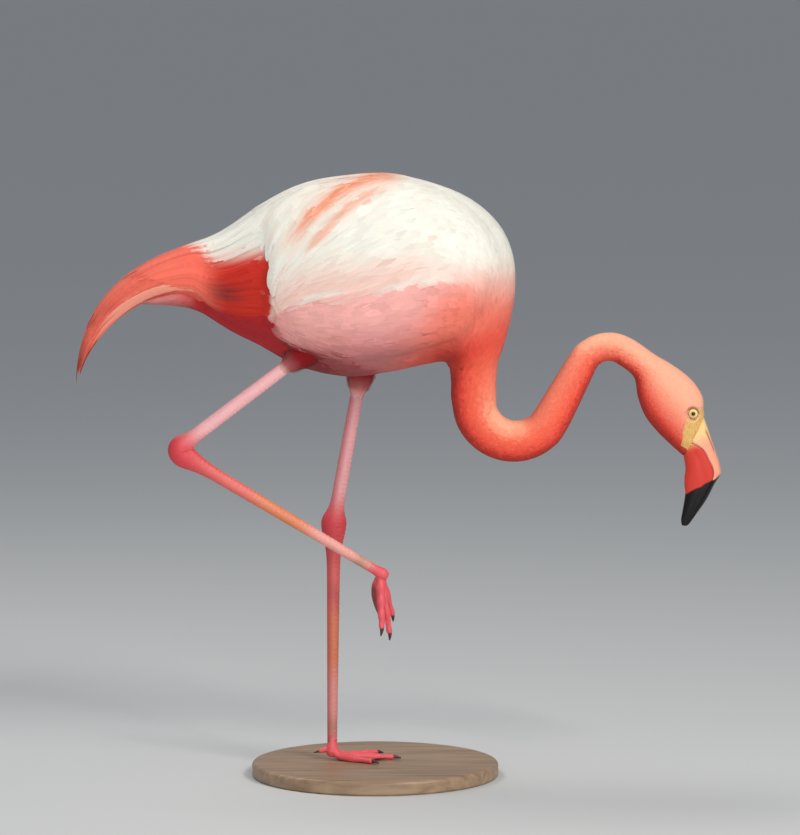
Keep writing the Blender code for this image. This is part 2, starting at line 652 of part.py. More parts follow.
def build_feet():
    toe = LEGS["left"][2]
    standing = foot("left", toe, (1, 0.03, 0), (0, 0, 1), spread=1.0, curl=0.0, height=toe[2])
    mesh = bpy.data.meshes.new("below_ground")
    bm = bmesh.new()
    bmesh.ops.create_cube(bm, size=0.4)
    bm.to_mesh(mesh)
    bm.free()
    below = placed("below_ground", mesh, "leg_skin", helper=True)
    below.location = (toe[0], toe[1], -0.2)
    boolean(standing, below, "DIFFERENCE")
    hanging, dorsal = (0.20, 0.08, -0.975), (0.86, -0.50, 0.12)
    joint = LEGS["right"][2]
    foot("right", joint, hanging, dorsal, spread=0.42, curl=0.03, height=0.006, hind=(0.75, -0.66))


def build_stand():
    """A turned disc with a rounded upper edge: half of its outline, swept round by a Screw modifier."""
    edge, bevel = 0.004, 0.002
    top, bottom = -CUT, -CUT - STAND_HEIGHT
    turns = np.linspace(math.pi / 2, 0, 4)
    corner = [(STAND_RADIUS - edge + edge * math.cos(a), top - edge + edge * math.sin(a)) for a in turns]
    foot_ring = [(STAND_RADIUS, bottom + bevel), (STAND_RADIUS - bevel, bottom)]
    outline = [(0, top), *corner, *foot_ring, (0, bottom)]
    mesh = bpy.data.meshes.new("stand_base")
    steps = [(i, i + 1) for i in range(len(outline) - 1)]
    mesh.from_pydata([(x, 0, z) for x, z in outline], steps, [])
    base = placed("stand_base", mesh, "stand_wood")
    screw = base.modifiers.new("turned", "SCREW")
    screw.steps = screw.render_steps = 48
    screw.use_merge_vertices = True
    screw.merge_threshold = 0.0001


def build():
    build_stand()
    head = build_trunk_neck_head()
    build_eyes(head)
    build_bill()
    build_wings()
    build_plumes()
    build_tail()
    clearance = trunk_clearance()
    for side in LEGS:
        build_leg(side, clearance)
    build_feet()


build()
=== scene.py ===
# %% [markdown]
# # A flamingo's skin, bill, eyes, legs and plumage
#
# The packed solids give the bird's true outline. This lesson puts one skin inside them, then covers the
# skin with nearly forty thousand feathers. Each feather is a thin closed vane that lies along the body's
# curved surface, tip towards the tail, and takes its colour from one set of plumage markings.
#
# The whole coat rests on one idea: the body is a surface of two parameters, a place along the body and
# an angle round it. A feather is laid out in those parameters and then lifted to its height.

# %% Tools and the frame
import math

import bpy
import numpy as np
from mathutils import Matrix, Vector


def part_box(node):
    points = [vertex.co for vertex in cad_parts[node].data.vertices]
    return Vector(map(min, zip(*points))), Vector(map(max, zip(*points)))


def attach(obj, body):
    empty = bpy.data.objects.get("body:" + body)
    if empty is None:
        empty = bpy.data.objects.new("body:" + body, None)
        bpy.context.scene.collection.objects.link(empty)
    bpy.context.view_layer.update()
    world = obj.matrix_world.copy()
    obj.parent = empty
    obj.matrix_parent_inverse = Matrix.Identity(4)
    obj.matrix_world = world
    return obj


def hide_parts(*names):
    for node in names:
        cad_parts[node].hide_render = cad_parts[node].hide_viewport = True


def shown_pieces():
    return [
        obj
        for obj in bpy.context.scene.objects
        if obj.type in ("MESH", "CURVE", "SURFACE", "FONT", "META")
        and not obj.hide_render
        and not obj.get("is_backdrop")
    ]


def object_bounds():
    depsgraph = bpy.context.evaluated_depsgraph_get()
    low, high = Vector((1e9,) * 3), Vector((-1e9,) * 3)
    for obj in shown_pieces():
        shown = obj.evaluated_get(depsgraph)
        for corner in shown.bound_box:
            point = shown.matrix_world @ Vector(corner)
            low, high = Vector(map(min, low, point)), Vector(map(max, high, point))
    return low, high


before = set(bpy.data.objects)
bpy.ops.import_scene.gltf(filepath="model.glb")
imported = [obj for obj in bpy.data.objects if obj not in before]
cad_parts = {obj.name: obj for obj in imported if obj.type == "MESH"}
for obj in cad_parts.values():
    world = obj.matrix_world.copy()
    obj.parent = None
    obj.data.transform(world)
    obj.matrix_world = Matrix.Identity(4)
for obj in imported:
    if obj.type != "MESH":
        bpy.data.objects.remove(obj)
scene = bpy.context.scene
CAD_BOX = [list(corner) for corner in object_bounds()]
rng = np.random.default_rng(11)
print("frame box", [[round(v, 4) for v in corner] for corner in CAD_BOX])

# %% [markdown]
# ## Body sections
#
# The trunk, neck and head are one flowing body. It could be sculpted, but then thousands of points would
# have to be stored. Here each row is a cross-section: a point on the belly side, one on the back side and
# a half width. The same rows shape the solids, and the trunk's box ties them to the frame.

# %% Body rows
TRUNK_ROWS = (
    (-0.192, 0.51, -0.192, 0.582, 0.029), (-0.162, 0.491, -0.164, 0.596, 0.044),
    (-0.13, 0.475, -0.128, 0.622, 0.059), (-0.085, 0.451, -0.081, 0.648, 0.074),
    (-0.032, 0.44, -0.032, 0.661, 0.084), (0.017, 0.445, 0.018, 0.6665, 0.086),
    (0.049, 0.452, 0.064, 0.658, 0.083), (0.07, 0.456, 0.107, 0.64, 0.078),
    (0.079, 0.456, 0.139, 0.612, 0.07), (0.081, 0.454, 0.155, 0.578, 0.061),
    (0.082, 0.452, 0.158, 0.543, 0.052), (0.084, 0.449, 0.154, 0.51, 0.043),
    (0.085, 0.443, 0.146, 0.477, 0.034), (0.086, 0.433, 0.138, 0.45, 0.028),
)
BOW_CENTRE, BOW_RADIUS = (0.158, 0.412), 0.0463
CREST_CENTRE, CREST_RADIUS = (0.264, 0.439), 0.0339
CREST_END_HEADING = math.radians(-34)
NECK_HALF_DEPTH = ((0.0, 0.0252), (0.35, 0.0228), (0.65, 0.019), (0.85, 0.0158), (1.0, 0.0162))
NECK_WIDTH_RATIO = 0.93
HEAD_ROWS = (
    (0.292, 0.439, 0.316, 0.464, 0.016), (0.297, 0.416, 0.333, 0.454, 0.0188),
    (0.305, 0.395, 0.35, 0.442, 0.0212), (0.318, 0.378, 0.362, 0.43, 0.0215),
    (0.331, 0.365, 0.37, 0.416, 0.0196), (0.342, 0.355, 0.3713, 0.403, 0.0165),
    (0.35, 0.348, 0.3723, 0.394, 0.014),
)
SECTION_POWER = 2.15
EYE_CENTRE, EYE_RADIUS, EYE_OUT = (0.3585, 0.3988), 0.0072, 0.0128
EYE_CROWN = np.array([0.35, 0.94])  # from the eye towards the crown
WING_SHOULDER_ROW = 8.9
WING_CLEARANCE = 0.0023
WING_ROWS = (
    (0.00, 82, 96, 0.0012, 0.0016, 0.0012), (0.05, 58, 112, 0.0012, 0.006, 0.0012),
    (0.14, 40, 124, 0.0012, 0.0092, 0.0015), (0.3, 26, 134, 0.0014, 0.01, 0.0022),
    (0.5, 14, 137, 0.003, 0.01, 0.0026), (0.72, 4, 132, 0.007, 0.01, 0.0026),
    (1.00, 3, 120, 0.009, 0.0095, 0.003),
)
PLUME_CENTRE, PLUME_RADIUS = (-0.194, 0.4135), 0.1435
PLUME_TURN = math.radians(81)
PLUME_ROWS = (
    (0.00, 0.037, 0.0385), (0.12, 0.029, 0.038), (0.28, 0.0235, 0.036), (0.5, 0.0185, 0.0275),
    (0.7, 0.0125, 0.0185), (0.86, 0.0068, 0.0104), (1.00, 0.0028, 0.0042), (1.07, 0.0012, 0.002),
)
TAIL_ROWS = (
    (-0.266, 0.523, -0.266, 0.5275, 0.02), (-0.25, 0.521, -0.25, 0.532, 0.029),
    (-0.23, 0.52, -0.23, 0.54, 0.029), (-0.21, 0.517, -0.21, 0.553, 0.027),
    (-0.193, 0.511, -0.193, 0.57, 0.025),
)
LEGS = {
    "right": ((-0.052, -0.038, 0.49), (-0.2245, -0.034, 0.3585), (0.007, -0.03, 0.219)),
    "left": ((-0.007, 0.036, 0.49), (-0.047, 0.022, 0.27), (-0.049, 0.008, 0.0115)),
}
SHIFT = np.array([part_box("trunk")[0].x - TRUNK_ROWS[0][0], 0.0, 0.0])
# All heights below are counted from the bird's sole. finish_piece lifts each piece onto the base.
CUT = 0.0005  # the air between neighbouring solids
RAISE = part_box("stand_base")[1].z + CUT
print("the bird is moved by", round(float(SHIFT[0]), 4), "along X and raised by", round(RAISE, 4))


# %% Interpolation
def spline(rows, at):
    """The Catmull-Rom curve through the rows, at positions counted in rows."""
    rows = np.asarray(rows, float)
    ends = np.vstack([2 * rows[0] - rows[1], rows, 2 * rows[-1] - rows[-2]])
    at = np.clip(np.atleast_1d(np.asarray(at, float)), 0, len(rows) - 1)
    first = np.minimum(at.astype(int), len(rows) - 2)
    f = (at - first)[:, None]
    a, b, c, d = (ends[first + k] for k in range(4))
    return 0.5 * (2 * b + (c - a) * f + (2 * a - 5 * b + 4 * c - d) * f**2 + (3 * b - a - 3 * c + d) * f**3)


def eased(rows, at):
    """The rows' later columns as a spline over their first column."""
    rows = np.asarray(rows, float)
    return spline(rows[:, 1:], np.interp(np.atleast_1d(at), rows[:, 0], np.arange(len(rows))))


def smooth(x, low=0.0, high=1.0):
    """0 below low, 1 above high, and an S curve between; low may be above high."""
    f = np.clip((np.asarray(x, float) - low) / (high - low), 0, 1)
    return f * f * (3 - 2 * f)


def unit(vectors):
    return vectors / np.linalg.norm(vectors, axis=-1, keepdims=True)


def power(x, exponent):
    """|x|^exponent with the sign of x."""
    return np.sign(x) * np.abs(x) ** exponent


def running(steps):
    """The sum of all steps before each point, from 0."""
    return np.concatenate([[0], np.cumsum(steps)])


def between(x, a, b, c, d):
    """1 from b to c, fading to 0 at a and at d."""
    return smooth(x, a, b) * smooth(x, d, c)


def bell(x, width):
    """exp(-(x / width)^2): 1 at 0, fading to both sides."""
    return np.exp(-((x / width) ** 2))


print("smooth(0.25) is", float(smooth(0.25)), "and power(-4, 0.5) is", float(power(-4.0, 0.5)))


# %% Neck rows
def neck_rows():
    """Section rows along the bow, its tangent and the crest."""
    (bx, bz), (cx, cz) = BOW_CENTRE, CREST_CENTRE
    apart = math.hypot(cx - bx, cz - bz)
    climb = math.atan2(cz - bz, cx - bx) + math.asin((BOW_RADIUS + CREST_RADIUS) / apart)
    headings = [*np.linspace(-math.pi / 2, climb, 7), *np.linspace(climb, CREST_END_HEADING, 5)]
    centres = [(bx, bz, BOW_RADIUS, 1)] * 7 + [(cx, cz, CREST_RADIUS, -1)] * 5
    middles = [
        (x + turn * radius * math.sin(heading), z - turn * radius * math.cos(heading))
        for heading, (x, z, radius, turn) in zip(headings, centres)
    ]
    steps = [math.dist(p, q) for p, q in zip(middles, middles[1:])]
    shares = running(steps) / sum(steps)
    halves = np.interp(shares, *np.array(NECK_HALF_DEPTH).T)
    rows = []
    for (x, z), heading, half in zip(middles, headings, halves):
        nx, nz = -math.sin(heading) * half, math.cos(heading) * half
        rows.append((x - nx, z - nz, x + nx, z + nz, half * NECK_WIDTH_RATIO))
    return tuple(rows)


BODY_ROWS = TRUNK_ROWS + neck_rows() + HEAD_ROWS
NECK_START = len(TRUNK_ROWS) - 1
HEAD_START = len(BODY_ROWS) - len(HEAD_ROWS) - 0.5
BODY_END = len(BODY_ROWS) - 1
print("body rows", len(BODY_ROWS), "neck from", NECK_START, "head from", HEAD_START)


# %% [markdown]
# ## The body as a surface
#
# `Surface` holds a fine grid of points: rows along the body, columns round it. It answers, for any place
# between grid points, where the surface is, which way is outwards and how far one step reaches, so a
# feather can be laid out in metres on a curved body. A hair system could place feathers too, but it
# would not bend them along the body or leave solid meshes to export.

# %% The surface class
class Surface:
    """A grid of points (rows, columns, 3), closed round its columns. Column 0 is the back line."""

    def __init__(self, points, place):
        self.rows, self.columns = points.shape[:2]
        self.place = place  # one number per row that the markings read
        ahead = np.gradient(points, axis=0)
        wrapped = np.concatenate([points[:, -1:], points, points[:, :1]], axis=1)
        around = (wrapped[:, 2:] - wrapped[:, :-2]) / 2
        normal = np.cross(ahead, around)
        normal /= np.linalg.norm(normal, axis=2, keepdims=True) + 1e-12
        steps = np.stack([np.linalg.norm(ahead, axis=2), np.linalg.norm(around, axis=2)], axis=2)
        table = np.concatenate([points, normal, np.maximum(steps, 1e-6)], axis=2)
        self.table = np.concatenate([table, table[:, :1]], axis=1)

    def at(self, i, j):
        """Points, outward normals and the two step lengths at row i and column j, which may be fractions."""
        i = np.clip(i, 0, self.rows - 1.001)
        j = np.mod(j, self.columns)
        i0, j0 = i.astype(int), np.minimum(j.astype(int), self.columns - 1)
        fi, fj = (i - i0)[..., None], (j - j0)[..., None]
        this, following = (self.table[k, j0] * (1 - fj) + self.table[k, j0 + 1] * fj for k in (i0, i0 + 1))
        found = this * (1 - fi) + following * fi
        normal = found[..., 3:6]
        normal = normal / (np.linalg.norm(normal, axis=-1, keepdims=True) + 1e-12)
        return found[..., 0:3], normal, found[..., 6], found[..., 7]

    def steps_at(self, i, j):
        """The two step lengths at the grid point nearest to row i and column j."""
        i, j = (np.round(v).astype(int) for v in (np.clip(i, 0, self.rows - 1), np.mod(j, self.columns)))
        return self.table[i, j, 6], self.table[i, j, 7]

    def place_at(self, i):
        return np.interp(i, np.arange(self.rows), self.place)


print("a surface answers", [name for name in vars(Surface) if not name.startswith("_")])

# %% Sections and the folded wing
COLUMNS = 240
ANGLES = np.arange(COLUMNS) * 360 / COLUMNS
SIDE_ANGLES = np.minimum(ANGLES, 360 - ANGLES)  # 0 on the back, 180 on the belly


def section_grid(rows, degrees=ANGLES):
    """Superellipse sections: the back at 0 degrees, the bird's left at 90, the belly at 180."""
    belly, back, half_width = rows[:, None, 0:2], rows[:, None, 2:4], rows[:, 4:5]
    angle = np.radians(degrees)
    along, across = power(np.cos(angle), 2 / SECTION_POWER), power(np.sin(angle), 2 / SECTION_POWER)
    flat = (belly + back) / 2 + (back - belly) / 2 * along[None, :, None]
    return np.stack([flat[..., 0], half_width * across, flat[..., 1]], axis=-1)


def spaced(rows, start, end, step):
    """Row positions from start to end with the middle line's points a step apart."""
    fine = np.linspace(start, end, 3000)
    at = spline(rows, fine)
    middle = (at[:, 0:2] + at[:, 2:4]) / 2
    outer = np.hypot(*np.diff(at[:, 2:4], axis=0).T)
    gone = running(np.maximum(np.hypot(*np.diff(middle, axis=0).T), outer * 0.7))
    return np.interp(np.linspace(0, gone[-1], max(8, round(gone[-1] / step))), gone, fine)


def wing_lift(position):
    """How far the folded wing stands out from the body, on the grid of positions and ANGLES."""
    share = 1 - position / WING_SHOULDER_ROW
    rows = eased(WING_ROWS, np.clip(share, 0.12, 1))
    upper, lower, upper_thick, middle_thick, lower_thick = (rows[:, k : k + 1] for k in range(5))
    across = (SIDE_ANGLES[None, :] - upper) / (lower - upper)
    inside = np.clip(across, 0, 1)
    edge = upper_thick * (1 - inside) + lower_thick * inside
    thick = WING_CLEARANCE + edge + (middle_thick - edge) * np.sin(math.pi * inside) ** 0.7
    ridge = smooth((upper - SIDE_ANGLES[None, :]) / 12, 1, 0)
    hem = smooth(SIDE_ANGLES[None, :] - lower, 7, 0)
    behind = smooth(position, 2.55, 2.05)[:, None] * smooth(SIDE_ANGLES, 20, 50)[None, :]
    return thick * ridge * hem * smooth(share, -0.06, 0.16)[:, None] * (1 - 0.45 * behind)


wing_height = wing_lift(np.array([5.0])).max() * 1000
print("at place 5 the folded wing stands out by up to", round(float(wing_height), 1), "mm")


# %% Body, plume and tail surfaces
def soften(points, first, last, passes):
    """Averages the grid's rows between first and last with their neighbours, a number of times."""
    for _ in range(passes):
        middle = (points[first - 1 : last - 1] + 2 * points[first:last] + points[first + 1 : last + 1]) / 4
        points[first:last] = middle
    return points


def plume_points(shares):
    """The drooping back plumes as sections round one arc, like the body's own."""
    rows = eased(PLUME_ROWS, shares)
    turn = shares * PLUME_TURN
    out = np.stack([-np.sin(turn), np.cos(turn)], axis=1)
    middle = np.array(PLUME_CENTRE) + out * PLUME_RADIUS
    angle = np.radians(ANGLES)
    flat = middle[:, None, :] + out[:, None, :] * (rows[:, 0:1] * np.cos(angle))[..., None]
    return np.stack([flat[..., 0], rows[:, 1:2] * np.sin(angle), flat[..., 1]], axis=-1)


positions = np.concatenate(
    [spaced(BODY_ROWS, 0, HEAD_START, 0.002)[:-1], spaced(BODY_ROWS, HEAD_START, BODY_END, 0.001)]
)
plain = Surface(section_grid(spline(BODY_ROWS, positions)), positions)
body_points = plain.table[:, :COLUMNS, 0:3] + plain.table[:, :COLUMNS, 3:6] * wing_lift(positions)[..., None]
PLUME_COUNT, TAIL_COUNT = 111, 40
plume_shares = np.linspace(PLUME_ROWS[-1][0], 0, PLUME_COUNT + 1)[:-1]
joined = np.concatenate([plume_points(plume_shares), body_points])
joined = soften(joined, PLUME_COUNT - 16, PLUME_COUNT + 20, 30)
coat = Surface(joined + SHIFT, np.concatenate([-plume_shares, positions]))

joined = np.concatenate([section_grid(spline(TAIL_ROWS, np.linspace(0, 4, TAIL_COUNT))), body_points])
joined = soften(joined, TAIL_COUNT - 10, TAIL_COUNT + 10, 12)
tail = Surface(joined + SHIFT, np.concatenate([np.linspace(-0.35, -0.01, TAIL_COUNT), positions]))


def row_of(surface, place):
    return np.interp(place, surface.place, np.arange(surface.rows))


top = coat.table[row_of(coat, 4).astype(int), 0]
print("surface rows", coat.rows, "back normal", np.round(top[3:6], 2), "row step", round(top[6], 4))

# %% [markdown]
# ## Plumage markings
#
# One function colours skin and feathers alike. It works from the place on the bird: how far along the
# body, how high, and how far round. White shoulders melt into a pink wing, a coral breast and neck,
# red plumes and a crimson underside. Light and shade are painted in too: the neck's back and the top of
# the head are paler as painted light, and the undersides, the hollow behind the wing and the plumes'
# ends are darker as painted shade. An image wrapped round the bird could do this, but rules of place
# need no image and give every feather and the skin below it the same colour.

# %% Palette
# The pale neck and crown colours are painted light; the dark red, maroon, plume end and web colours are painted
# shade.
PALETTE = {
    "white": (0.83, 0.81, 0.72), "blush": (0.86, 0.52, 0.44),
    "peach": (0.82, 0.36, 0.22), "band": (0.84, 0.29, 0.16),
    "pink": (0.88, 0.42, 0.38), "rose": (0.7, 0.25, 0.24),
    "coral": (0.87, 0.2, 0.135), "scarlet": (0.8, 0.05, 0.034),
    "neck": (0.86, 0.12, 0.068), "painted_neck_light": (0.97, 0.47, 0.29),
    "crown": (0.95, 0.43, 0.28), "plume": (0.85, 0.145, 0.095),
    "plume_edge": (0.84, 0.34, 0.25), "plume_end_shade": (0.36, 0.055, 0.035),
    "red": (0.62, 0.03, 0.017), "crimson": (0.5, 0.02, 0.026),
    "throat": (0.36, 0.03, 0.02), "maroon": (0.24, 0.03, 0.03),
    "plume_hem": (0.92, 0.36, 0.26), "undertail": (0.62, 0.27, 0.25),
    "lores": (0.72, 0.45, 0.14), "lores_dark": (0.56, 0.25, 0.06),
    "lid": (0.74, 0.38, 0.28), "shin": (0.84, 0.43, 0.44),
    "knob": (0.66, 0.042, 0.058), "flush": (0.78, 0.15, 0.14),
    "tarsus": (0.72, 0.22, 0.1), "mud": (0.36, 0.2, 0.11),
    "toe": (0.76, 0.095, 0.11), "web": (0.2, 0.03, 0.032),
    "thigh": (0.74, 0.46, 0.42), "bill_red": (0.62, 0.042, 0.026),
    "bill_peach": (0.84, 0.34, 0.22), "bill_yellow": (0.82, 0.56, 0.23),
    "bill_black": (0.005, 0.0035, 0.0035), "claw": (0.075, 0.036, 0.032),
}
PALETTE = {name: np.array(value) for name, value in PALETTE.items()}


def mix(base, colour, amount):
    """The base with an amount of a colour, given by its name or as an array, over it."""
    colour = PALETTE[colour] if isinstance(colour, str) else colour
    return base + (colour - base) * np.asarray(amount)[..., None]


def layered(name, shape, layers=()):
    """One colour all over, and each (colour, amount) layer over what lies below it."""
    found = np.broadcast_to(PALETTE[name], (*shape, 3))
    for colour, amount in layers:
        found = mix(found, colour, amount)
    return found


print(len(PALETTE), "colours")

# %% Lines and places of the markings
SHOULDER_LINE = (  # the lower edge of the white shoulder, from the tail end forwards
    (-0.115, 0.503), (-0.107, 0.508), (-0.0983, 0.5147), (-0.0682, 0.5267), (-0.0409, 0.5298),
    (0.0076, 0.533), (0.0678, 0.5454), (0.1015, 0.542),
)
WEDGE_LINE = ((-0.225, 0.6), (-0.209, 0.585), (-0.182, 0.563), (-0.15, 0.567), (-0.121, 0.574))
UNDER_LINE = (  # the lower edge of the folded wing and of the red rump: crimson lies below
    (-0.23, 0.521), (-0.187, 0.52), (-0.113, 0.4985), (-0.1085, 0.489), (-0.103, 0.483),
    (-0.0957, 0.476), (-0.0684, 0.466), (-0.035, 0.457), (0.0013, 0.445), (0.05, 0.433),
)
BANDS = (  # warm streaks on the back: height a + b x + c x^2, half width, strength, ends along x
    (0.663, 0.22, -6.0, 0.0092, 1.15, (-0.105, -0.075, 0.01, 0.042)),
    (0.6444, 0.42, -6.3, 0.0064, 0.85, (-0.082, -0.068, -0.01, 0.034)),
)


LOOK_DOWN = 0.105  # the tangent of six degrees


def line_at(line, x):
    return np.interp(x, *np.array(line).T)


def seen_height(points):
    """Height as it looks from a little above the side: things nearer the eye seem lower."""
    return points[..., 2] - LOOK_DOWN * np.abs(points[..., 1])


FINE_PLACES = np.linspace(0, BODY_END, 400)
FINE_ROWS = spline(BODY_ROWS, FINE_PLACES)


def towards_back(points, place):
    """0 on the belly side of the body's section, 1 on its back side."""
    belly_x, belly_z, back_x, back_z = (np.interp(place, FINE_PLACES, FINE_ROWS[:, k]) for k in range(4))
    dx, dz = back_x - belly_x, back_z - belly_z
    x, z = points[..., 0] - SHIFT[0], points[..., 2]
    return ((x - belly_x) * dx + (z - belly_z) * dz) / (dx * dx + dz * dz)


print("the white shoulder ends", round(float(line_at(SHOULDER_LINE, 0.0)), 3), "m above the sole at x = 0")


# %% Markings
def markings(points, place, rump=1.0):
    """Linear RGB for points on the trunk, neck, head, tail and plumes. With rump 0 the red behind the
    folded wing is left out, so that the wing's own feathers keep their colour to their ends."""
    x, h = points[..., 0] - SHIFT[0], seen_height(points)
    above, wedge = h - line_at(SHOULDER_LINE, x), h - line_at(WEDGE_LINE, x)
    lobe = smooth(above, 0.001, -0.001) * smooth(x, 0.12, 0.095)
    hem = between(x, -0.09, -0.075, -0.045, -0.03) + between(x, 0.0, 0.02, 0.085, 0.105)
    breast = smooth(x + 0.45 * (0.56 - h), 0.06, 0.118) * smooth(h, 0.572, 0.505)
    rear = rump * smooth(x - 0.08 * (h - 0.574), -0.11, -0.114)
    below_wedge = smooth(wedge, 0.01, -0.006)
    # A painted shadow: dark maroon in the hollow between the folded wing, the rump and the undertail.
    hollow = bell(x + 0.168, 0.024) * bell(h - 0.532 + 0.2 * (x + 0.168), 0.008)
    # The plumes darken towards their drooping ends: painted shade.
    plume = layered("plume", x.shape, [("plume_end_shade", smooth(place, -0.7, -0.95))])
    # Below the wing's lower edge the underside turns crimson, partly its own red and partly painted shade.
    under = smooth(h - line_at(UNDER_LINE, x), 0.004, -0.006) * smooth(place, -0.75, -0.15)
    under = under * smooth(x, 0.1, 0.04)
    up, back = place - NECK_START, towards_back(points, place)
    neck, rising, crest = smooth(up, -3, -0.2), between(up, 5, 6.2, 8, 9), between(up, 8.5, 9.5, 11, 12)
    return layered("white", x.shape, [
        ("blush", 0.9 * smooth(above, 0.052, 0.01) * smooth(x, 0.1, 0.02)),
        ("blush", 0.45 * smooth(above, 0.03, 0) * smooth(x, 0.02, 0.1)),
        *(
            ("band", strength * bell(h - (a + b * x + c * x * x), width) * between(x, *ends))
            for a, b, c, width, strength, ends in BANDS
        ),
        ("pink", lobe),
        ("rose", lobe * 0.55 * smooth(x, -0.075, -0.11)),
        # Painted shade: the pink lobe turns rose, then maroon, towards its lower edge.
        ("rose", lobe * 0.85 * smooth(above, -0.022, -0.066)),
        ("maroon", lobe * 0.45 * smooth(above, -0.045, -0.085)),
        # A white line along the shoulder's lower edge: pale feather edges, brightened with a painted highlight.
        ("white", 0.85 * bell(above - 0.0015, 0.0028) * hem),
        ("coral", breast),
        # Painted shade: the breast's lower part turns darker scarlet.
        ("scarlet", breast * smooth(h - 0.3 * (x - 0.1), 0.5, 0.455)),
        ("blush", 0.9 * rear * smooth(wedge, 0.024, 0.002)),
        ("red", rear * below_wedge),
        # The painted shadow in the hollow behind the wing.
        ("maroon", 0.95 * rump * hollow),
        (plume, smooth(place, 1.1, -0.25) * below_wedge),
        ("crimson", under),
        # Painted shadow: maroon under the wing's lobe.
        ("maroon", under * between(x, -0.135, -0.085, -0.02, 0.03)),
        ("neck", neck),
        # Painted light and shade on the neck: darker scarlet towards the belly side, paler on the lit back side,
        # and darkest underneath.
        ("scarlet", neck * (0.85 - 0.6 * crest) * smooth(back, 0.5, 0.1)),
        ("painted_neck_light", neck * (0.9 - 0.65 * rising) * smooth(back, 0.45, 0.92) * smooth(up, -1, 3)),
        ("throat", neck * (0.85 - 0.75 * crest) * smooth(back, 0.28, 0)),
        # Painted shade in the corner where the neck meets the breast.
        ("throat", 0.75 * bell(x - 0.084, 0.022) * bell(h - 0.458, 0.014) * smooth(back, 0.5, 0.1)),
        # Painted light: the top of the head is paler.
        ("crown", 0.9 * smooth(place, HEAD_START - 7, HEAD_START + 1) * smooth(back, 0.1, 0.75)),
    ])


def wing_markings(points, place):
    return markings(points, place, rump=0.0)


print("the back at place 4 is", markings(top[None, 0:3], np.array([4.0]))[0].round(3))

# %% Skin-only colours
LORE_TOP, LORE_AWAY = np.array([0.3545, 0.402]), np.array([0.954, -0.3])
CHIN, BROW = np.array(BODY_ROWS[-1][0:2]), np.array(BODY_ROWS[-1][2:4])
BILL_DEPTH = unit(BROW - CHIN)


def inside_bare_face(points):
    """How far points lie inside the bare skin between eye and bill, in metres. The feathers' edge bows
    towards the bill halfway down and turns to it above the chin. Its corners are rounded: -k times the
    logarithm of the sum of exp(-d / k) over the distances d from its three edges."""
    flat = points[..., [0, 2]] - SHIFT[[0, 2]]
    up = (flat - CHIN) @ BILL_DEPTH
    front = (flat - LORE_TOP) @ LORE_AWAY - 0.0026 * bell(up - 0.015, 0.007)
    below = 0.4035 - flat[..., 1] - 0.25 * np.maximum(0.01 - np.abs(points[..., 1]), 0)
    chin = 0.9 * (up - 0.0085)
    edges = np.stack([front, below, chin]).clip(-0.03, 0.03)
    return -0.002 * np.log(np.exp(-edges / 0.002).sum(axis=0))


def bare_face(points):
    """1 on the bare skin, 0 on feathered head and chin, with a soft rim."""
    return smooth(inside_bare_face(points), -0.0006, 0.001)


def flat_from_eye(points):
    """The (x, z) step from the eye's axis to each point."""
    return points[..., [0, 2]] - SHIFT[[0, 2]] - np.array(EYE_CENTRE)


def from_eye(points):
    """Distance from the eye's axis as seen from the side."""
    return np.linalg.norm(flat_from_eye(points), axis=-1)


def thinning(points, place):
    """How far the coat has thinned towards bare skin and eyelids: 0 in full coat, 1 at its edge."""
    near = np.maximum(smooth(inside_bare_face(points), -0.007, -0.0002), smooth(from_eye(points), 0.0135, 0.008))
    return near * smooth(place, HEAD_START, HEAD_START + 1)


def skin_colour(points, place):
    head = smooth(place, HEAD_START, HEAD_START + 1)
    bare = bare_face(points) * head
    x, y, z = np.moveaxis(points, -1, 0) * 1000
    blotch = np.sin(1.1 * x + 2.2 * np.sin(0.7 * z) + 0.3 * y) * np.sin(1.3 * z + 1.7 * np.sin(0.9 * x))
    colour = mix(markings(points, place), "lores", bare)
    colour = mix(colour, "lores_dark", 0.75 * bare * smooth(blotch, -0.15, 0.75))
    return mix(colour, "lid", 0.9 * smooth(from_eye(points), 0.0086, 0.0072) * head)


print("from eye to bill", round(1000 * math.dist(BROW, EYE_CENTRE), 1), "mm")


# %% [markdown]
# ## Materials
#
# Feathers read their colour from the vertices and get their barbs from a map that runs in millimetres
# along and across each vane. Real barbs are finer than a tenth of a millimetre, far too many to model,
# so a bump stands for them. Horn, skin, eyes and wood have materials of their own.

# %% Node helpers
def new_material(name, **settings):
    """A material, its tree and its shader, with shader inputs set. An underscore stands for a space."""
    made = bpy.data.materials.new(name)
    made.use_nodes = True
    shader = made.node_tree.nodes["Principled BSDF"]
    for key, value in settings.items():
        shader.inputs[key.replace("_", " ")].default_value = value
    return made, made.node_tree, shader


def add(tree, kind, inputs=(), **settings):
    """A node of this kind, with its settings, and its inputs set or linked."""
    node = tree.nodes.new("ShaderNode" + kind)
    for key, value in settings.items():
        setattr(node, key, value)
    for key, value in dict(inputs).items():
        if isinstance(value, bpy.types.NodeSocket):
            tree.links.new(value, node.inputs[key])
        else:
            node.inputs[key].default_value = value
    return node


def maths(tree, operation, a, b=0.0, c=0.0):
    return add(tree, "Math", {0: a, 1: b, 2: c}, operation=operation).outputs[0]


def object_place(tree):
    return add(tree, "TexCoord").outputs["Object"]


def noise(tree, place, scale, detail, stretch=None, **inputs):
    """Noise over a place, which three factors can stretch first."""
    if stretch:
        place = add(tree, "Mapping", {"Vector": place, "Scale": stretch}).outputs[0]
    return add(tree, "TexNoise", {"Vector": place, "Scale": scale, "Detail": detail, **inputs}).outputs[0]


def bump(tree, shader, height, strength, distance):
    node = add(tree, "Bump", {"Height": height, "Strength": strength, "Distance": distance})
    tree.links.new(node.outputs[0], shader.inputs["Normal"])


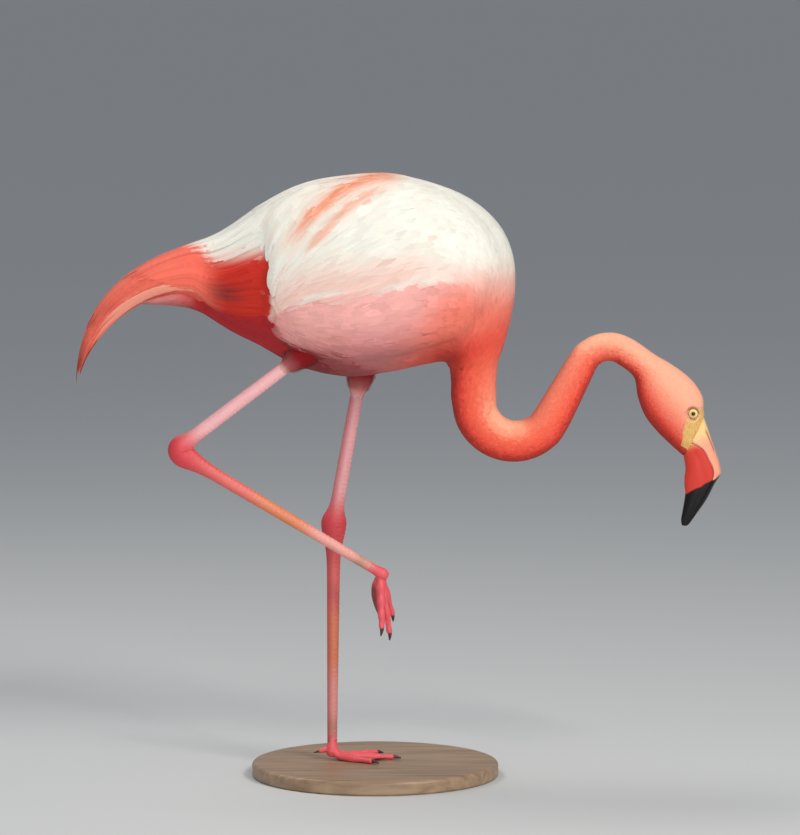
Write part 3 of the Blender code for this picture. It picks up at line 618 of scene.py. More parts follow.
def marked(tree, shader, tone):
    """The shader's colour: the vertex markings times a tone."""
    colour = add(tree, "Attribute", attribute_name="Markings").outputs["Color"]
    scaled = add(tree, "VectorMath", {0: colour, "Scale": tone}, operation="SCALE")
    tree.links.new(scaled.outputs[0], shader.inputs["Base Color"])


def ramped(tree, shader, value, stops):
    """The shader's colour: a ramp with (position, colour) stops."""
    node = add(tree, "ValToRGB", {0: value})
    elements = node.color_ramp.elements
    for _ in stops[2:]:
        elements.new(0.5)
    for element, (position, colour) in zip(elements, stops):
        element.position, element.color = position, (*colour, 1.0)
    tree.links.new(node.outputs[0], shader.inputs["Base Color"])


# %% Feather material
def feather_material(name, barb_spacing, roughness):
    """Barbs slant away from the shaft: bands of (along - 0.8 |across|), with the shaft as a fine ridge."""
    made, tree, shader = new_material(
        name, Roughness=roughness, Sheen_Weight=0.04, Sheen_Roughness=0.4, Specular_IOR_Level=0.16
    )
    vane = add(tree, "UVMap", uv_map="vane").outputs[0]
    split = add(tree, "SeparateXYZ", {0: vane})
    across = maths(tree, "ABSOLUTE", split.outputs[0])
    slant = maths(tree, "MULTIPLY_ADD", across, -0.8, split.outputs[1])
    wobble = maths(tree, "MULTIPLY_ADD", noise(tree, vane, 60.0, 3.0), 0.15, slant)
    barbs = maths(tree, "SINE", maths(tree, "MULTIPLY", wobble, 2 * math.pi / (barb_spacing * 100)))
    shaft = maths(tree, "SUBTRACT", 1.0, maths(tree, "MINIMUM", maths(tree, "MULTIPLY", across, 25.0), 1.0))
    bump(tree, shader, maths(tree, "MULTIPLY_ADD", barbs, 0.3, shaft), 0.45, 0.0003)
    grain = maths(tree, "MULTIPLY_ADD", noise(tree, vane, 9.0, 4.0), 0.16, 0.92)
    marked(tree, shader, maths(tree, "MULTIPLY", maths(tree, "MULTIPLY_ADD", barbs, 0.035, 0.965), grain))
    return made


FINE_FEATHER = feather_material("fine_feather", 0.0005, 0.78)
BROAD_FEATHER = feather_material("broad_feather", 0.0009, 0.72)
print("nodes of a feather material", [node.name for node in FINE_FEATHER.node_tree.nodes])


# %% Skin, horn, eye and wood materials
def skin_material(name, scale, strength, roughness):
    """Pores and folds for bare skin, or the net of scales on a leg."""
    made, tree, shader = new_material(
        name, Roughness=roughness, Subsurface_Weight=0.08, Subsurface_Radius=(0.006, 0.002, 0.001)
    )
    place = object_place(tree)
    cells = add(tree, "TexVoronoi", {"Vector": place, "Scale": scale}, feature="DISTANCE_TO_EDGE")
    edge = maths(tree, "MINIMUM", maths(tree, "MULTIPLY", cells.outputs["Distance"], 7.0), 1.0)
    folds = noise(tree, place, scale * 0.35, 5.0)
    bump(tree, shader, maths(tree, "MULTIPLY_ADD", folds, 0.5, edge), strength, 0.0003)
    tone = maths(tree, "MULTIPLY_ADD", edge, 0.16, 0.8)
    marked(tree, shader, maths(tree, "MULTIPLY_ADD", folds, 0.14, tone))
    return made


def horn_material(name):
    """Smooth horn with faint growth lines along it."""
    made, tree, shader = new_material(name, Roughness=0.34, Specular_IOR_Level=0.3)
    lines = noise(tree, object_place(tree), 1.0, 4.0, (900.0, 900.0, 90.0))
    bump(tree, shader, lines, 0.35, 0.0002)
    marked(tree, shader, maths(tree, "MULTIPLY_ADD", lines, 0.18, 0.91))
    return made


IRIS = (  # (distance from the axis in centimetres, colour): pupil, iris, dark rim and white
    (0.00, (0.003, 0.002, 0.002)), (0.215, (0.003, 0.002, 0.002)), (0.24, (0.52, 0.32, 0.07)),
    (0.42, (0.86, 0.7, 0.3)), (0.5, (0.74, 0.5, 0.17)), (0.56, (0.24, 0.1, 0.05)),
    (0.66, (0.35, 0.14, 0.1)),
)
WOOD_TONES = ((0.0, (0.17, 0.1, 0.055)), (1.0, (0.4, 0.27, 0.165)))


def eye_material(name, centre):
    """Rings round the eye's axis, with fine spokes in the iris."""
    made, tree, shader = new_material(
        name, Roughness=0.2, Specular_IOR_Level=0.15, Coat_Weight=0.45, Coat_Roughness=0.02
    )
    place = object_place(tree)
    from_axis = add(tree, "VectorMath", {0: place, 1: (centre[0], 0.0, centre[1])}, operation="SUBTRACT")
    x, _, z = add(tree, "SeparateXYZ", {0: from_axis.outputs[0]}).outputs
    radius = maths(tree, "SQRT", maths(tree, "MULTIPLY_ADD", x, x, maths(tree, "POWER", z, 2.0)))
    radius = maths(tree, "MULTIPLY_ADD", noise(tree, place, 1500.0, 3.0), 0.0004, radius)
    ramped(tree, shader, maths(tree, "MULTIPLY", radius, 100.0), IRIS)
    return made


def wood_material(name):
    """Satin wood with wavering grain along X and finer pores in it."""
    made, tree, shader = new_material(name, Roughness=0.45)
    place = object_place(tree)
    grain = noise(tree, place, 1.0, 6.0, (9.0, 110.0, 110.0), Distortion=0.4)
    pores = noise(tree, place, 1.0, 3.0, (60.0, 1400.0, 1400.0))
    broad = maths(tree, "MULTIPLY_ADD", grain, 1.6, -0.45)
    ramped(tree, shader, maths(tree, "MULTIPLY_ADD", pores, 0.35, broad), WOOD_TONES)
    bump(tree, shader, pores, 0.15, 0.0002)
    return made


SKIN = skin_material("skin", 900.0, 0.25, 0.62)
SCUTES = skin_material("leg_scutes", 640.0, 0.4, 0.42)
HORN = horn_material("bill_horn")
EYE = eye_material("eye_iris", (SHIFT[0] + EYE_CENTRE[0], EYE_CENTRE[1] + RAISE))
WOOD = wood_material("base_wood")
print("materials", [m.name for m in (FINE_FEATHER, BROAD_FEATHER, SKIN, SCUTES, HORN, EYE, WOOD)])


# %% [markdown]
# ## Making a mesh from arrays
#
# Everything below ends here: points, faces, a colour per point and, for the coat, two maps. Blender
# could add vertices one by one, but whole arrays handed over at once are far quicker.

# %% Mesh maker
def make_mesh(name, points, faces, materials, colours=None, maps=None, material_index=None, rim=None):
    """faces: integer arrays, each (count, 3) or (count, 4). maps: name to one (u, v) per point. An edge
    between two rim points stays sharp, so that a thin vane is not shaded as if it were a pebble."""
    mesh = bpy.data.meshes.new(name)
    loops = np.concatenate([f.ravel() for f in faces]).astype(np.int32)
    sizes = np.concatenate([np.full(len(f), f.shape[1]) for f in faces]).astype(np.int32)
    mesh.vertices.add(len(points))
    mesh.vertices.foreach_set("co", np.ascontiguousarray(points, np.float32).ravel())
    mesh.loops.add(len(loops))
    mesh.loops.foreach_set("vertex_index", loops)
    mesh.polygons.add(len(sizes))
    mesh.polygons.foreach_set("loop_start", running(sizes)[:-1].astype(np.int32))
    mesh.update(calc_edges=True)
    if colours is not None:
        data = np.concatenate([np.clip(colours, 0, 1), np.ones((len(points), 1))], axis=1)
        layer = mesh.attributes.new("Markings", "FLOAT_COLOR", "POINT")
        layer.data.foreach_set("color", data.astype(np.float32).ravel())
    for key, uv in (maps or {}).items():
        layer = mesh.uv_layers.new(name=key)
        layer.uv.foreach_set("vector", uv[loops].astype(np.float32).ravel())
    for material in materials:
        mesh.materials.append(material)
    if material_index is not None:
        mesh.polygons.foreach_set("material_index", material_index.astype(np.int32))
    mesh.shade_smooth()
    if rim is not None:
        ends = np.empty(len(mesh.edges) * 2, np.int32)
        mesh.edges.foreach_get("vertices", ends)
        sharp = mesh.attributes.new("sharp_edge", "BOOLEAN", "EDGE")
        sharp.data.foreach_set("value", rim[ends.reshape(-1, 2)].all(axis=1))
    if mesh.validate():
        print("  ", name, "had faces to mend")
    made = bpy.data.objects.new(name, mesh)
    scene.collection.objects.link(made)
    return made


def finish_piece(made, slot, *nodes):
    """Raises the piece onto the base, hangs it on the root and hides the nodes it replaces. The slot is not
    used.
    """
    made.data.transform(Matrix.Translation((0.0, 0.0, RAISE)))
    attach(made, "root")
    if nodes:
        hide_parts(*nodes)
    made.data.calc_loop_triangles()
    print(f"{made.name}: {len(made.data.loop_triangles)} triangles")
    return made


# %% Closed tubes and solid pieces
def closed_tube(rings):
    """Points and faces of rings (count, sides, 3), with a middle point closing each end."""
    count, sides = rings.shape[:2]
    points = np.concatenate([rings.reshape(-1, 3), rings[:1].mean(axis=1), rings[-1:].mean(axis=1)])
    j = np.arange(sides)
    k = (j + 1) % sides
    i = np.arange(count - 1)[:, None] * sides
    quads = np.stack([i + j, i + sides + j, i + sides + k, i + k], axis=-1).reshape(-1, 4)
    first, end = count * sides, (count - 1) * sides
    starting = np.stack([np.full(sides, first), j, k], axis=1)
    ending = np.stack([np.full(sides, first + 1), end + k, end + j], axis=1)
    return points, [quads, starting, ending]


def outward(points, faces):
    """The faces, turned round if the shell's signed volume is negative."""
    volume = 0.0
    for f in faces:
        for a, b, c in ((0, 1, 2), (0, 2, 3))[: f.shape[1] - 2]:
            volume += np.einsum("ij,ij->", points[f[:, a]], np.cross(points[f[:, b]], points[f[:, c]]))
    return faces if volume > 0 else [f[:, ::-1] for f in faces]


def solid_piece(name, points, faces, material, slot, *nodes, colours=None):
    """A closed piece of one material."""
    finish_piece(make_mesh(name, points, outward(points, faces), [material], colours), slot, *nodes)


print("faces of a tube of 3 rings of 4", [len(f) for f in closed_tube(np.zeros((3, 4, 3)))[1]])


# %% [markdown]
# ## One skin
#
# The skin follows the coat's surface at the depth of the feathers. The same grid runs from the stub of
# the tail over trunk, neck and head to the bill. Round each eye it sinks into a socket and rises into a
# lid. It could be left out where feathers hide it, but it closes every gap between them, as on the real
# bird. The legs and feet are part of the same piece.

# %% Body skin
def coat_depth(place):
    """Depth of the feathers over the skin, in metres, from the tail (0) to the bill."""
    marks = (0, 2, 8, NECK_START - 1, NECK_START + 3, HEAD_START - 3, HEAD_START + 2, BODY_END - 2, BODY_END)
    depths = (0.008, 0.0085, 0.008, 0.0055, 0.0036, 0.0028, 0.0018, 0.0013, 0.0006)
    return np.interp(place, marks, depths)


def eye_relief(points, place):
    """Moves skin near each eye: a socket inside the opening, a raised lid at its rim."""
    ring = from_eye(points) * (1 + 0.14 * smooth(flat_from_eye(points) @ EYE_CROWN, 0.0, 0.006))
    ball = EYE_OUT + np.sqrt(np.maximum(EYE_RADIUS**2 - ring**2, 0))
    side = np.sign(points[..., 1])
    now = np.abs(points[..., 1])
    head = (place > HEAD_START) & (ring < 0.0115) & (now > 0.004)
    rim = ball + 0.0007 * bell(ring - 0.006, 0.0013)
    socket = ball - 0.0022
    target = np.where(ring < 0.005, socket, socket + (rim - socket) * smooth(ring, 0.005, 0.0057))
    out = np.where(ring < 0.0066, target, now + (target - now) * smooth(ring, 0.0098, 0.0066))
    result = points.copy()
    result[..., 1] = np.where(head, side * out, points[..., 1])
    return result


def body_skin():
    """Rings of the skin: the stub of the tail, then rows of the coat's surface, sunk to its depth."""
    rows = np.arange(PLUME_COUNT + 2, coat.rows - 1)
    place = coat.place[rows]
    fine = place > HEAD_START - 1
    rows = rows[fine | (np.arange(len(rows)) % 2 == 0)]
    place = coat.place[rows]
    table = coat.table[rows][:, :COLUMNS:2]
    bare = thinning(table[..., 0:3], place[:, None])
    rings = table[..., 0:3] - table[..., 3:6] * (coat_depth(place)[:, None] * (1 - 0.85 * bare))[..., None]
    stub_rows = ((-0.229, 0.528, -0.229, 0.537, 0.006), (-0.217, 0.522, -0.218, 0.552, 0.016))
    stub = section_grid(spline(stub_rows, np.linspace(0, 1, 4)), ANGLES[::2]) + SHIFT
    rings = np.concatenate([stub, rings])
    rings = soften(rings, 3, 12, 6)
    place = np.concatenate([np.full(4, -0.2), place])
    rings = eye_relief(rings, np.broadcast_to(place[:, None], rings.shape[:2]))
    points, faces = closed_tube(rings)
    where = np.concatenate([np.repeat(place, rings.shape[1]), [place[0], place[-1]]])
    return points, outward(points, faces), skin_colour(points, where)


skin_points, skin_faces, skin_colours = body_skin()
print("body skin", len(skin_points), "points")

# %% [markdown]
# ## Legs
#
# A leg is one tube along hip, ankle and toe joint. Its thickness swells at the thigh and at the ankle's
# knob. Broad scutes ring its front, and a net of small scales covers the rest. The scutes are modelled
# because they catch the light. The net is finer, so the material makes it.

# %% Leg dimensions
THIGH_LENGTH = {"right": 0.062, "left": 0.076}
THIGH_RADII = {"right": (0.02, 0.009), "left": (0.024, 0.0095)}
ANKLE_BEND_RADIUS = 0.01
SHANK_HALF_DEPTH = (0.0075, 0.008)
TARSUS_FOOT_HALF_DEPTH = 0.0055
KNOB_HALF_DEPTH, KNOB_FADE = 0.0064, (0.0135, 0.025)
LEG_WIDTH_RATIO, KNOB_WIDTH_RATIO = 0.84, 0.5
THIGH_COAT = 0.0045
SCUTE_SPACING, SCUTE_RELIEF = 0.005, 0.00048
LEG_SIDES = 32
print("from hip to ankle", {side: round(math.dist(*LEGS[side][:2]), 3) for side in LEGS})


# %% The leg's path and thickness
def rings_round(middle, up, deep, across, wide, sides):
    """Elliptic rings round a middle line: angle 0 along `up`, 90 degrees along `across`."""
    angle = np.arange(sides) * 2 * math.pi / sides
    high, broad = (half if half.ndim == 2 else half[:, None] for half in (deep, wide))
    lift, side = (high * np.cos(angle))[..., None], (broad * np.sin(angle))[..., None]
    return middle[:, None, :] + up[:, None, :] * lift + across[:, None, :] * side


def leg_path(hip, ankle, toe):
    """Points from hip to toe joint with the ankle's corner rounded, and the distance along them."""
    hip, ankle, toe = (np.array(p, float) for p in (hip, ankle, toe))
    down, on = unit(ankle - hip), unit(toe - ankle)
    turn = math.acos(float(np.clip(down @ on, -1, 1)))
    back = ANKLE_BEND_RADIUS * math.tan(turn / 2)
    enter, leave = ankle - down * back, ankle + on * back
    count = 400
    f = np.linspace(0, 1, count)[:, None]
    corner = (1 - f) ** 2 * enter + 2 * f * (1 - f) * ankle + f**2 * leave
    path = np.concatenate([hip + (enter - hip) * f[:-1], corner[:-1], leave + (toe - leave) * f])
    gone = running(np.linalg.norm(np.diff(path, axis=0), axis=1))
    return path, gone, float(gone[count - 1 + count // 2])


def tube_along(path, gone, at, deep, wide, sides):
    """Elliptic rings at distances along a path: angle 0 faces backwards, 90 degrees the bird's left."""
    def point(distance):
        return np.stack([np.interp(distance, gone, path[:, k]) for k in range(3)], axis=1)

    middle, heading = point(at), unit(point(at + 0.003) - point(at - 0.003))
    across = unit(np.array([0.0, 1.0, 0.0]) - heading * heading[:, 1:2])
    return rings_round(middle, np.cross(across, heading), deep, across, wide, sides)


def thigh_half(side, at):
    """Half width of the feathered thigh at distances below the hip."""
    top, bottom = THIGH_RADII[side]
    return top + (bottom - top) * np.clip(at / THIGH_LENGTH[side], 0, 1) ** 0.8


def leg_halves(side, at, ankle_at, foot_at):
    """Half depth and half width along the leg, thigh flesh included, without scutes."""
    length = THIGH_LENGTH[side]
    flesh = thigh_half(side, at) - THIGH_COAT
    bare = np.interp(at, (length, ankle_at, foot_at), (*SHANK_HALF_DEPTH, TARSUS_FOOT_HALF_DEPTH))
    knob = KNOB_HALF_DEPTH * bell(at - ankle_at, np.where(at < ankle_at, *KNOB_FADE))
    on_shin = smooth(at, length - 0.012, length + 0.004)
    deep = flesh * 1.1 * (1 - on_shin) + (bare + knob) * on_shin
    wide = flesh * (1 - on_shin) + (bare * LEG_WIDTH_RATIO + knob * KNOB_WIDTH_RATIO) * on_shin
    return deep, wide


print("along the path", {side: round(float(leg_path(*LEGS[side])[1][-1]), 3) for side in LEGS})


# %% One leg's skin
def toe_joint_layers(above):
    """The mud and the red of the leg's lower end, by the height above the toe joint along the leg."""
    return [("mud", 0.6 * bell(above - 0.026, 0.01)), ("toe", smooth(above, 0.024, 0.006))]


def leg_skin(side):
    """The leg's tube with its scutes, and its colours."""
    path, gone, ankle_at = leg_path(*LEGS[side])
    path = path + SHIFT
    at = np.arange(0.004, gone[-1] - 0.004, 0.00105)
    deep, wide = leg_halves(side, at, ankle_at, gone[-1])
    angle = np.arange(LEG_SIDES) * 2 * math.pi / LEG_SIDES
    frontness = smooth(-np.cos(angle), -0.1, 0.6)[None, :]
    phase = (at / SCUTE_SPACING)[:, None] - 0.18 * np.cos(angle)[None, :]
    saw = phase - np.floor(phase)
    groove = smooth(saw, 0.0, 0.22) * smooth(saw, 1.0, 0.86)
    past, thigh_end = at - ankle_at, THIGH_LENGTH[side]
    bare = smooth(at, thigh_end - 0.004, thigh_end + 0.004)[:, None]
    relief = SCUTE_RELIEF * (groove - 1) * frontness * bare
    rings = tube_along(path, gone, at, deep[:, None] + relief, wide[:, None] + relief, LEG_SIDES)
    points, faces = closed_tube(rings)
    colour = layered("shin", at.shape, [
        ("thigh", smooth(at, thigh_end + 0.006, thigh_end - 0.006)),
        ("tarsus", smooth(past, 0.004, 0.055)),
        ("shin", 0.55 * smooth(past, 0.15, 0.19)),
        ("flush", 0.85 * between(past, -0.04, 0.0, 0.082, 0.118)),
        ("knob", bell(past, np.where(past < 0, 0.019, 0.048))),
        *toe_joint_layers(gone[-1] - at),
    ])
    colour = np.repeat(colour[:, None, :], LEG_SIDES, axis=1)
    # Painted shade on the far left leg: its rear side turns deeper red and the whole leg is darkened.
    if side == "left":
        colour = mix(colour, "knob", 0.15 + 0.35 * bare * smooth(np.cos(angle), -0.2, 0.9)) * 0.78
    colour = colour * (0.9 + 0.1 * (groove * frontness * bare + 1 - frontness * bare))[..., None]
    colour = np.concatenate([colour.reshape(-1, 3), colour[0, :1], colour[-1, :1]])
    return points, outward(points, faces), colour


# %% [markdown]
# ## Feet
#
# Three front toes with knuckles, webs with a curved front edge, and a small hind toe. They could be
# joined by booleans, which leave hard creases. The shells are melted together by a remesh and smoothed,
# as flesh would be.

# %% Foot dimensions
TOES = (("inner", -33, 0.055), ("middle", 0, 0.071), ("outer", 33, 0.063))
TOE_RADII = (0.005, 0.003)
CLAW_LENGTH, CLAW_RADII = 0.0078, (0.0026, 0.0007)
TOE_SINK, HALLUX_LENGTH = 0.12, 0.013
FEET = {  # the ways ahead and up, the toes' spread and curl, the joint's height, the web, the hind toe's way
    "left": dict(
        ahead=(1, 0.03, 0), up=(0, 0, 1), spread=1.0, curl=0.0, height=0.0115, slack=0.0, hind=(-0.97, -0.25)
    ),
    "right": dict(
        ahead=(0.2, 0.08, -0.975), up=(0.86, -0.5, 0.12), spread=0.42, curl=0.03, height=0.006, slack=0.013,
        hind=(0.75, -0.66),
    ),
}


print("toes", [name for name, _, _ in TOES])


# %% The lines of the toes
def toe_joint(side):
    """The toe joint in the frame, and the way down the shin to it."""
    joint = np.array(LEGS[side][2])
    return joint + SHIFT, unit(joint - np.array(LEGS[side][1]))


def foot_place(side):
    """A function that puts (ahead, left, up) positions of one foot into the frame."""
    ahead, up = unit(np.array(FEET[side]["ahead"], float)), np.array(FEET[side]["up"], float)
    up = unit(up - ahead * (ahead @ up))
    joint = toe_joint(side)[0]

    def place(local):
        return joint + local[..., 0:1] * ahead + local[..., 1:2] * np.cross(up, ahead) + local[..., 2:3] * up

    return place


def toe_middle(side, share, degrees, length):
    """A toe's middle line: down from the joint to the ground in its first third, then along it."""
    how = FEET[side]
    settle = np.clip(1 - share / 0.3, 0, 1) ** 2
    out = length * share * (1 - 0.04 * how["curl"])
    rise = (how["height"] - TOE_RADII[0]) * settle - how["curl"] * length * share**2
    yaw = math.radians(degrees * how["spread"]) * (1 if side == "left" else -1)
    rest = np.interp(share, (0, 1), TOE_RADII)
    up = rise + rest * (1 - TOE_SINK) - how["height"]
    return np.stack([out * math.cos(yaw), out * math.sin(yaw), up], axis=-1)


def hind_toe(side, distance):
    """Points at distances along the hind toe's middle line."""
    forward, upward = FEET[side]["hind"]
    return np.array([0, 0, 0.002]) + np.array([forward, 0, upward]) * distance


print("toe joints", {side: toe_joint(side)[0].round(3).tolist() for side in LEGS})


# %% Foot shells
def round_rings(middle, radii, sides, flatten=1.0):
    """Rings round a middle line, upright and level across."""
    heading = unit(np.gradient(middle, axis=0))
    across = unit(np.cross((0.0, 0.0, 1.0), heading))
    return rings_round(middle, np.cross(heading, across), radii * flatten, across, radii, sides)


def foot_shells(side):
    """Overlapping closed shells of one foot: toes, hind toe, ball and webs."""
    place, how = foot_place(side), FEET[side]
    shells = []
    share = np.linspace(0, 1, 60)
    for name, degrees, length in TOES:
        joints = {"inner": 2, "middle": 3, "outer": 4}[name]
        swell = 1 + 0.13 * np.cos(share * joints * 2 * math.pi) - 0.05
        radii = np.interp(share, (0, 1), TOE_RADII) * swell * (1.11 if how["slack"] else 1.0)
        radii[-3:] *= (0.93, 0.78, 0.5)
        shells.append(closed_tube(place(round_rings(toe_middle(side, share, degrees, length), radii, 20))))
    along = np.linspace(0, 1, 14)
    hind = hind_toe(side, (0.001 + (HALLUX_LENGTH + 0.002) * along)[:, None])
    radii = (0.0036 - 0.0011 * along) * np.where(along > 0.95, 0.6, 1.0)
    shells.append(closed_tube(place(round_rings(hind, radii, 16))))
    joint, shin = toe_joint(side)
    ball = np.linspace(-0.016, 0.0085, 20)
    swelling = ((-16, 5), (-8.5, 5.1), (-3, 6.3), (2, 7), (6.5, 5.2), (8.5, 3))  # millimetres
    radii = np.interp(ball, *np.array(swelling).T / 1000)
    across = unit(np.cross(shin, (0.0, 1.0, 0.0)))[None]
    line = joint + ball[:, None] * shin
    shells.append(closed_tube(rings_round(line, across, radii * 1.05, np.cross(shin, across), radii * 0.95, 20)))
    fan = np.linspace(0, 1, 25)[None, :, None]
    reach = np.linspace(0.05, 0.93, 30)[:, None]
    arch = np.sin(math.pi * fan)
    pull = 1 - 0.24 * arch * reach[:, :, None] ** 3
    half = np.array([0, 0, 0.00085 + 0.06 * how["slack"]])
    for toes in zip(TOES, TOES[1:]):
        start, end = (toe_middle(side, reach[:, 0], *toe[1:])[:, None, :] for toe in toes)
        sheet = (start + (end - start) * fan) * np.concatenate([pull, pull, np.ones_like(pull)], axis=2)
        sheet[..., 2] += 0.0007 * np.sin(fan[..., 0] * math.pi * 5) * arch[..., 0] * reach
        sheet[..., 2] -= how["slack"] * arch[..., 0] * np.sin(math.pi * reach**0.65)
        loop = np.concatenate([sheet + half, (sheet - half)[:, ::-1]], axis=1)
        shells.append(closed_tube(place(loop)))
    return shells


print("shells of one foot", len(foot_shells("left")))


# %% Melting the foot
def joined_shells(shells):
    points, faces, offset = [], [], 0
    for p, f in shells:
        points.append(p)
        faces += [g + offset for g in outward(p, f)]
        offset += len(p)
    return np.concatenate(points), faces


def read_mesh(mesh):
    """Points and triangles of a mesh as arrays."""
    points = np.empty(len(mesh.vertices) * 3)
    mesh.vertices.foreach_get("co", points)
    mesh.calc_loop_triangles()
    corners = np.empty(len(mesh.loop_triangles) * 3, np.int32)
    mesh.loop_triangles.foreach_get("vertices", corners)
    return points.reshape(-1, 3), corners.reshape(-1, 3)


def melted(name, points, faces, voxel, triangles):
    """Melts overlapping shells into one skin: remesh, smooth, and thin to a number of triangles."""
    source = make_mesh(name, points, faces, [])
    remesh = source.modifiers.new("melt", "REMESH")
    remesh.mode, remesh.voxel_size = "VOXEL", voxel
    rounded = source.modifiers.new("round", "SMOOTH")
    rounded.factor, rounded.iterations = 0.5, 3

    def evaluated(read):
        shown = source.evaluated_get(bpy.context.evaluated_depsgraph_get())
        found = read(shown.to_mesh())
        shown.to_mesh_clear()
        return found

    count = evaluated(lambda mesh: len(mesh.polygons) * 2)
    source.modifiers.new("thin", "DECIMATE").ratio = min(1.0, triangles / count)
    found = evaluated(read_mesh)
    bpy.data.objects.remove(source, do_unlink=True)
    return found


def foot_skin(side):
    points, faces = melted(f"foot_shells_{side}", *joined_shells(foot_shells(side)), 0.00055, 22000)
    if side == "left":
        points[:, 2] = np.maximum(points[:, 2], 0.0)
    joint, shin = toe_joint(side)
    away = np.linalg.norm(points - joint, axis=1)
    lines = [foot_place(side)(toe_middle(side, np.linspace(0, 1, 40), d, l)) for _, d, l in TOES]
    off_toe = np.min([np.linalg.norm(points - p, axis=1) for p in np.concatenate(lines)], axis=0)
    web = smooth(off_toe, 0.0052, 0.0078) * smooth(away, 0.012, 0.022)
    return points, [faces], layered("tarsus", away.shape, [
        ("shin", 0.55),
        *toe_joint_layers((joint - points) @ shin),
        ("toe", smooth(away, 0.016, 0.022)),
        # The webs are painted dark maroon as painted shade, darkest on the lifted foot, whose hanging web faces
        # away from the light.
        ("web", (0.9 if FEET[side]["slack"] else 0.45) * web),
    ])


# %% The skin piece
def build_skin():
    parts = [(skin_points, skin_faces, skin_colours)]
    parts += [leg_skin(side) for side in LEGS]
    parts += [foot_skin(side) for side in LEGS]
    points = np.concatenate([p for p, _, _ in parts])
    offsets = running([len(p) for p, _, _ in parts])
    faces = [f + offset for (_, fs, _), offset in zip(parts, offsets) for f in fs]
    order = np.arange(sum(map(len, faces))) >= sum(map(len, skin_faces))
    colours = np.concatenate([c for _, _, c in parts])
    made = make_mesh("skin", points, faces, [SKIN, SCUTES], colours, material_index=order)
    flesh = ["trunk", "neck_base", "neck_middle", "neck_top", "head"]
    for side in LEGS:
        flesh += [f"{part}_{side}" for part in ("thigh", "shank", "ankle", "tarsus", "foot")]
    return finish_piece(made, "leg_skin", *flesh)


build_skin()

# %% [markdown]
# ## Bill
#
# The deep lower half and the narrow upper half meet along the mouth line, bend down at mid length and
# end in a black tip. The upper half has a long slit of a nostril near its base. One mesh would hide the
# mouth line, so the halves are two closed solids that face each other.

# %% Bill rows
BILL_MOUTH_SHARE = 0.36
BILL_ROWS = (
    (0.38, 0.369, 0.3705, 0.357, 0.351, 0.335, 0.0128),
    (0.3862, 0.351, 0.3775, 0.345, 0.35, 0.324, 0.0124),
    (0.3905, 0.337, 0.3818, 0.335, 0.35, 0.315, 0.0118),
    (0.3908, 0.3285, 0.382, 0.326, 0.351, 0.307, 0.011),
    (0.3842, 0.317, 0.3775, 0.314, 0.35, 0.298, 0.0098),
    (0.375, 0.299, 0.369, 0.298, 0.348, 0.286, 0.0076),
    (0.364, 0.283, 0.36, 0.282, 0.3465, 0.276, 0.0048),
    (0.3545, 0.2695, 0.3525, 0.2692, 0.3475, 0.2685, 0.002),
)
BLACK_EDGE = ((0.3803, 0.3225), (0.3514, 0.3067))  # the black tip starts on this line


def bill_colour(points, upper):
    """Pale yellow at the base, coral red below and peach above, and black past a slanting line."""
    x, z = points[:, 0] - SHIFT[0], points[:, 2]
    (ax, az), (bx, bz) = BLACK_EDGE
    past = ((x - bx) * (az - bz) - (z - bz) * (ax - bx)) / math.hypot(ax - bx, az - bz)
    past = past + 0.0004 * np.sin(x * 420 + 1.0) + 0.0002 * np.sin(z * 900 + x * 300)
    base = smooth((x - 0.36) * -0.43 + (z - 0.372) * 0.9, -0.016, 0.004)
    return layered("bill_peach" if upper else "bill_red", x.shape, [
        ("bill_yellow", base if upper else base * 0.85), ("bill_black", smooth(past, -0.001, 0.0014))
    ])


print("bill sections", len(BILL_ROWS) + 1)


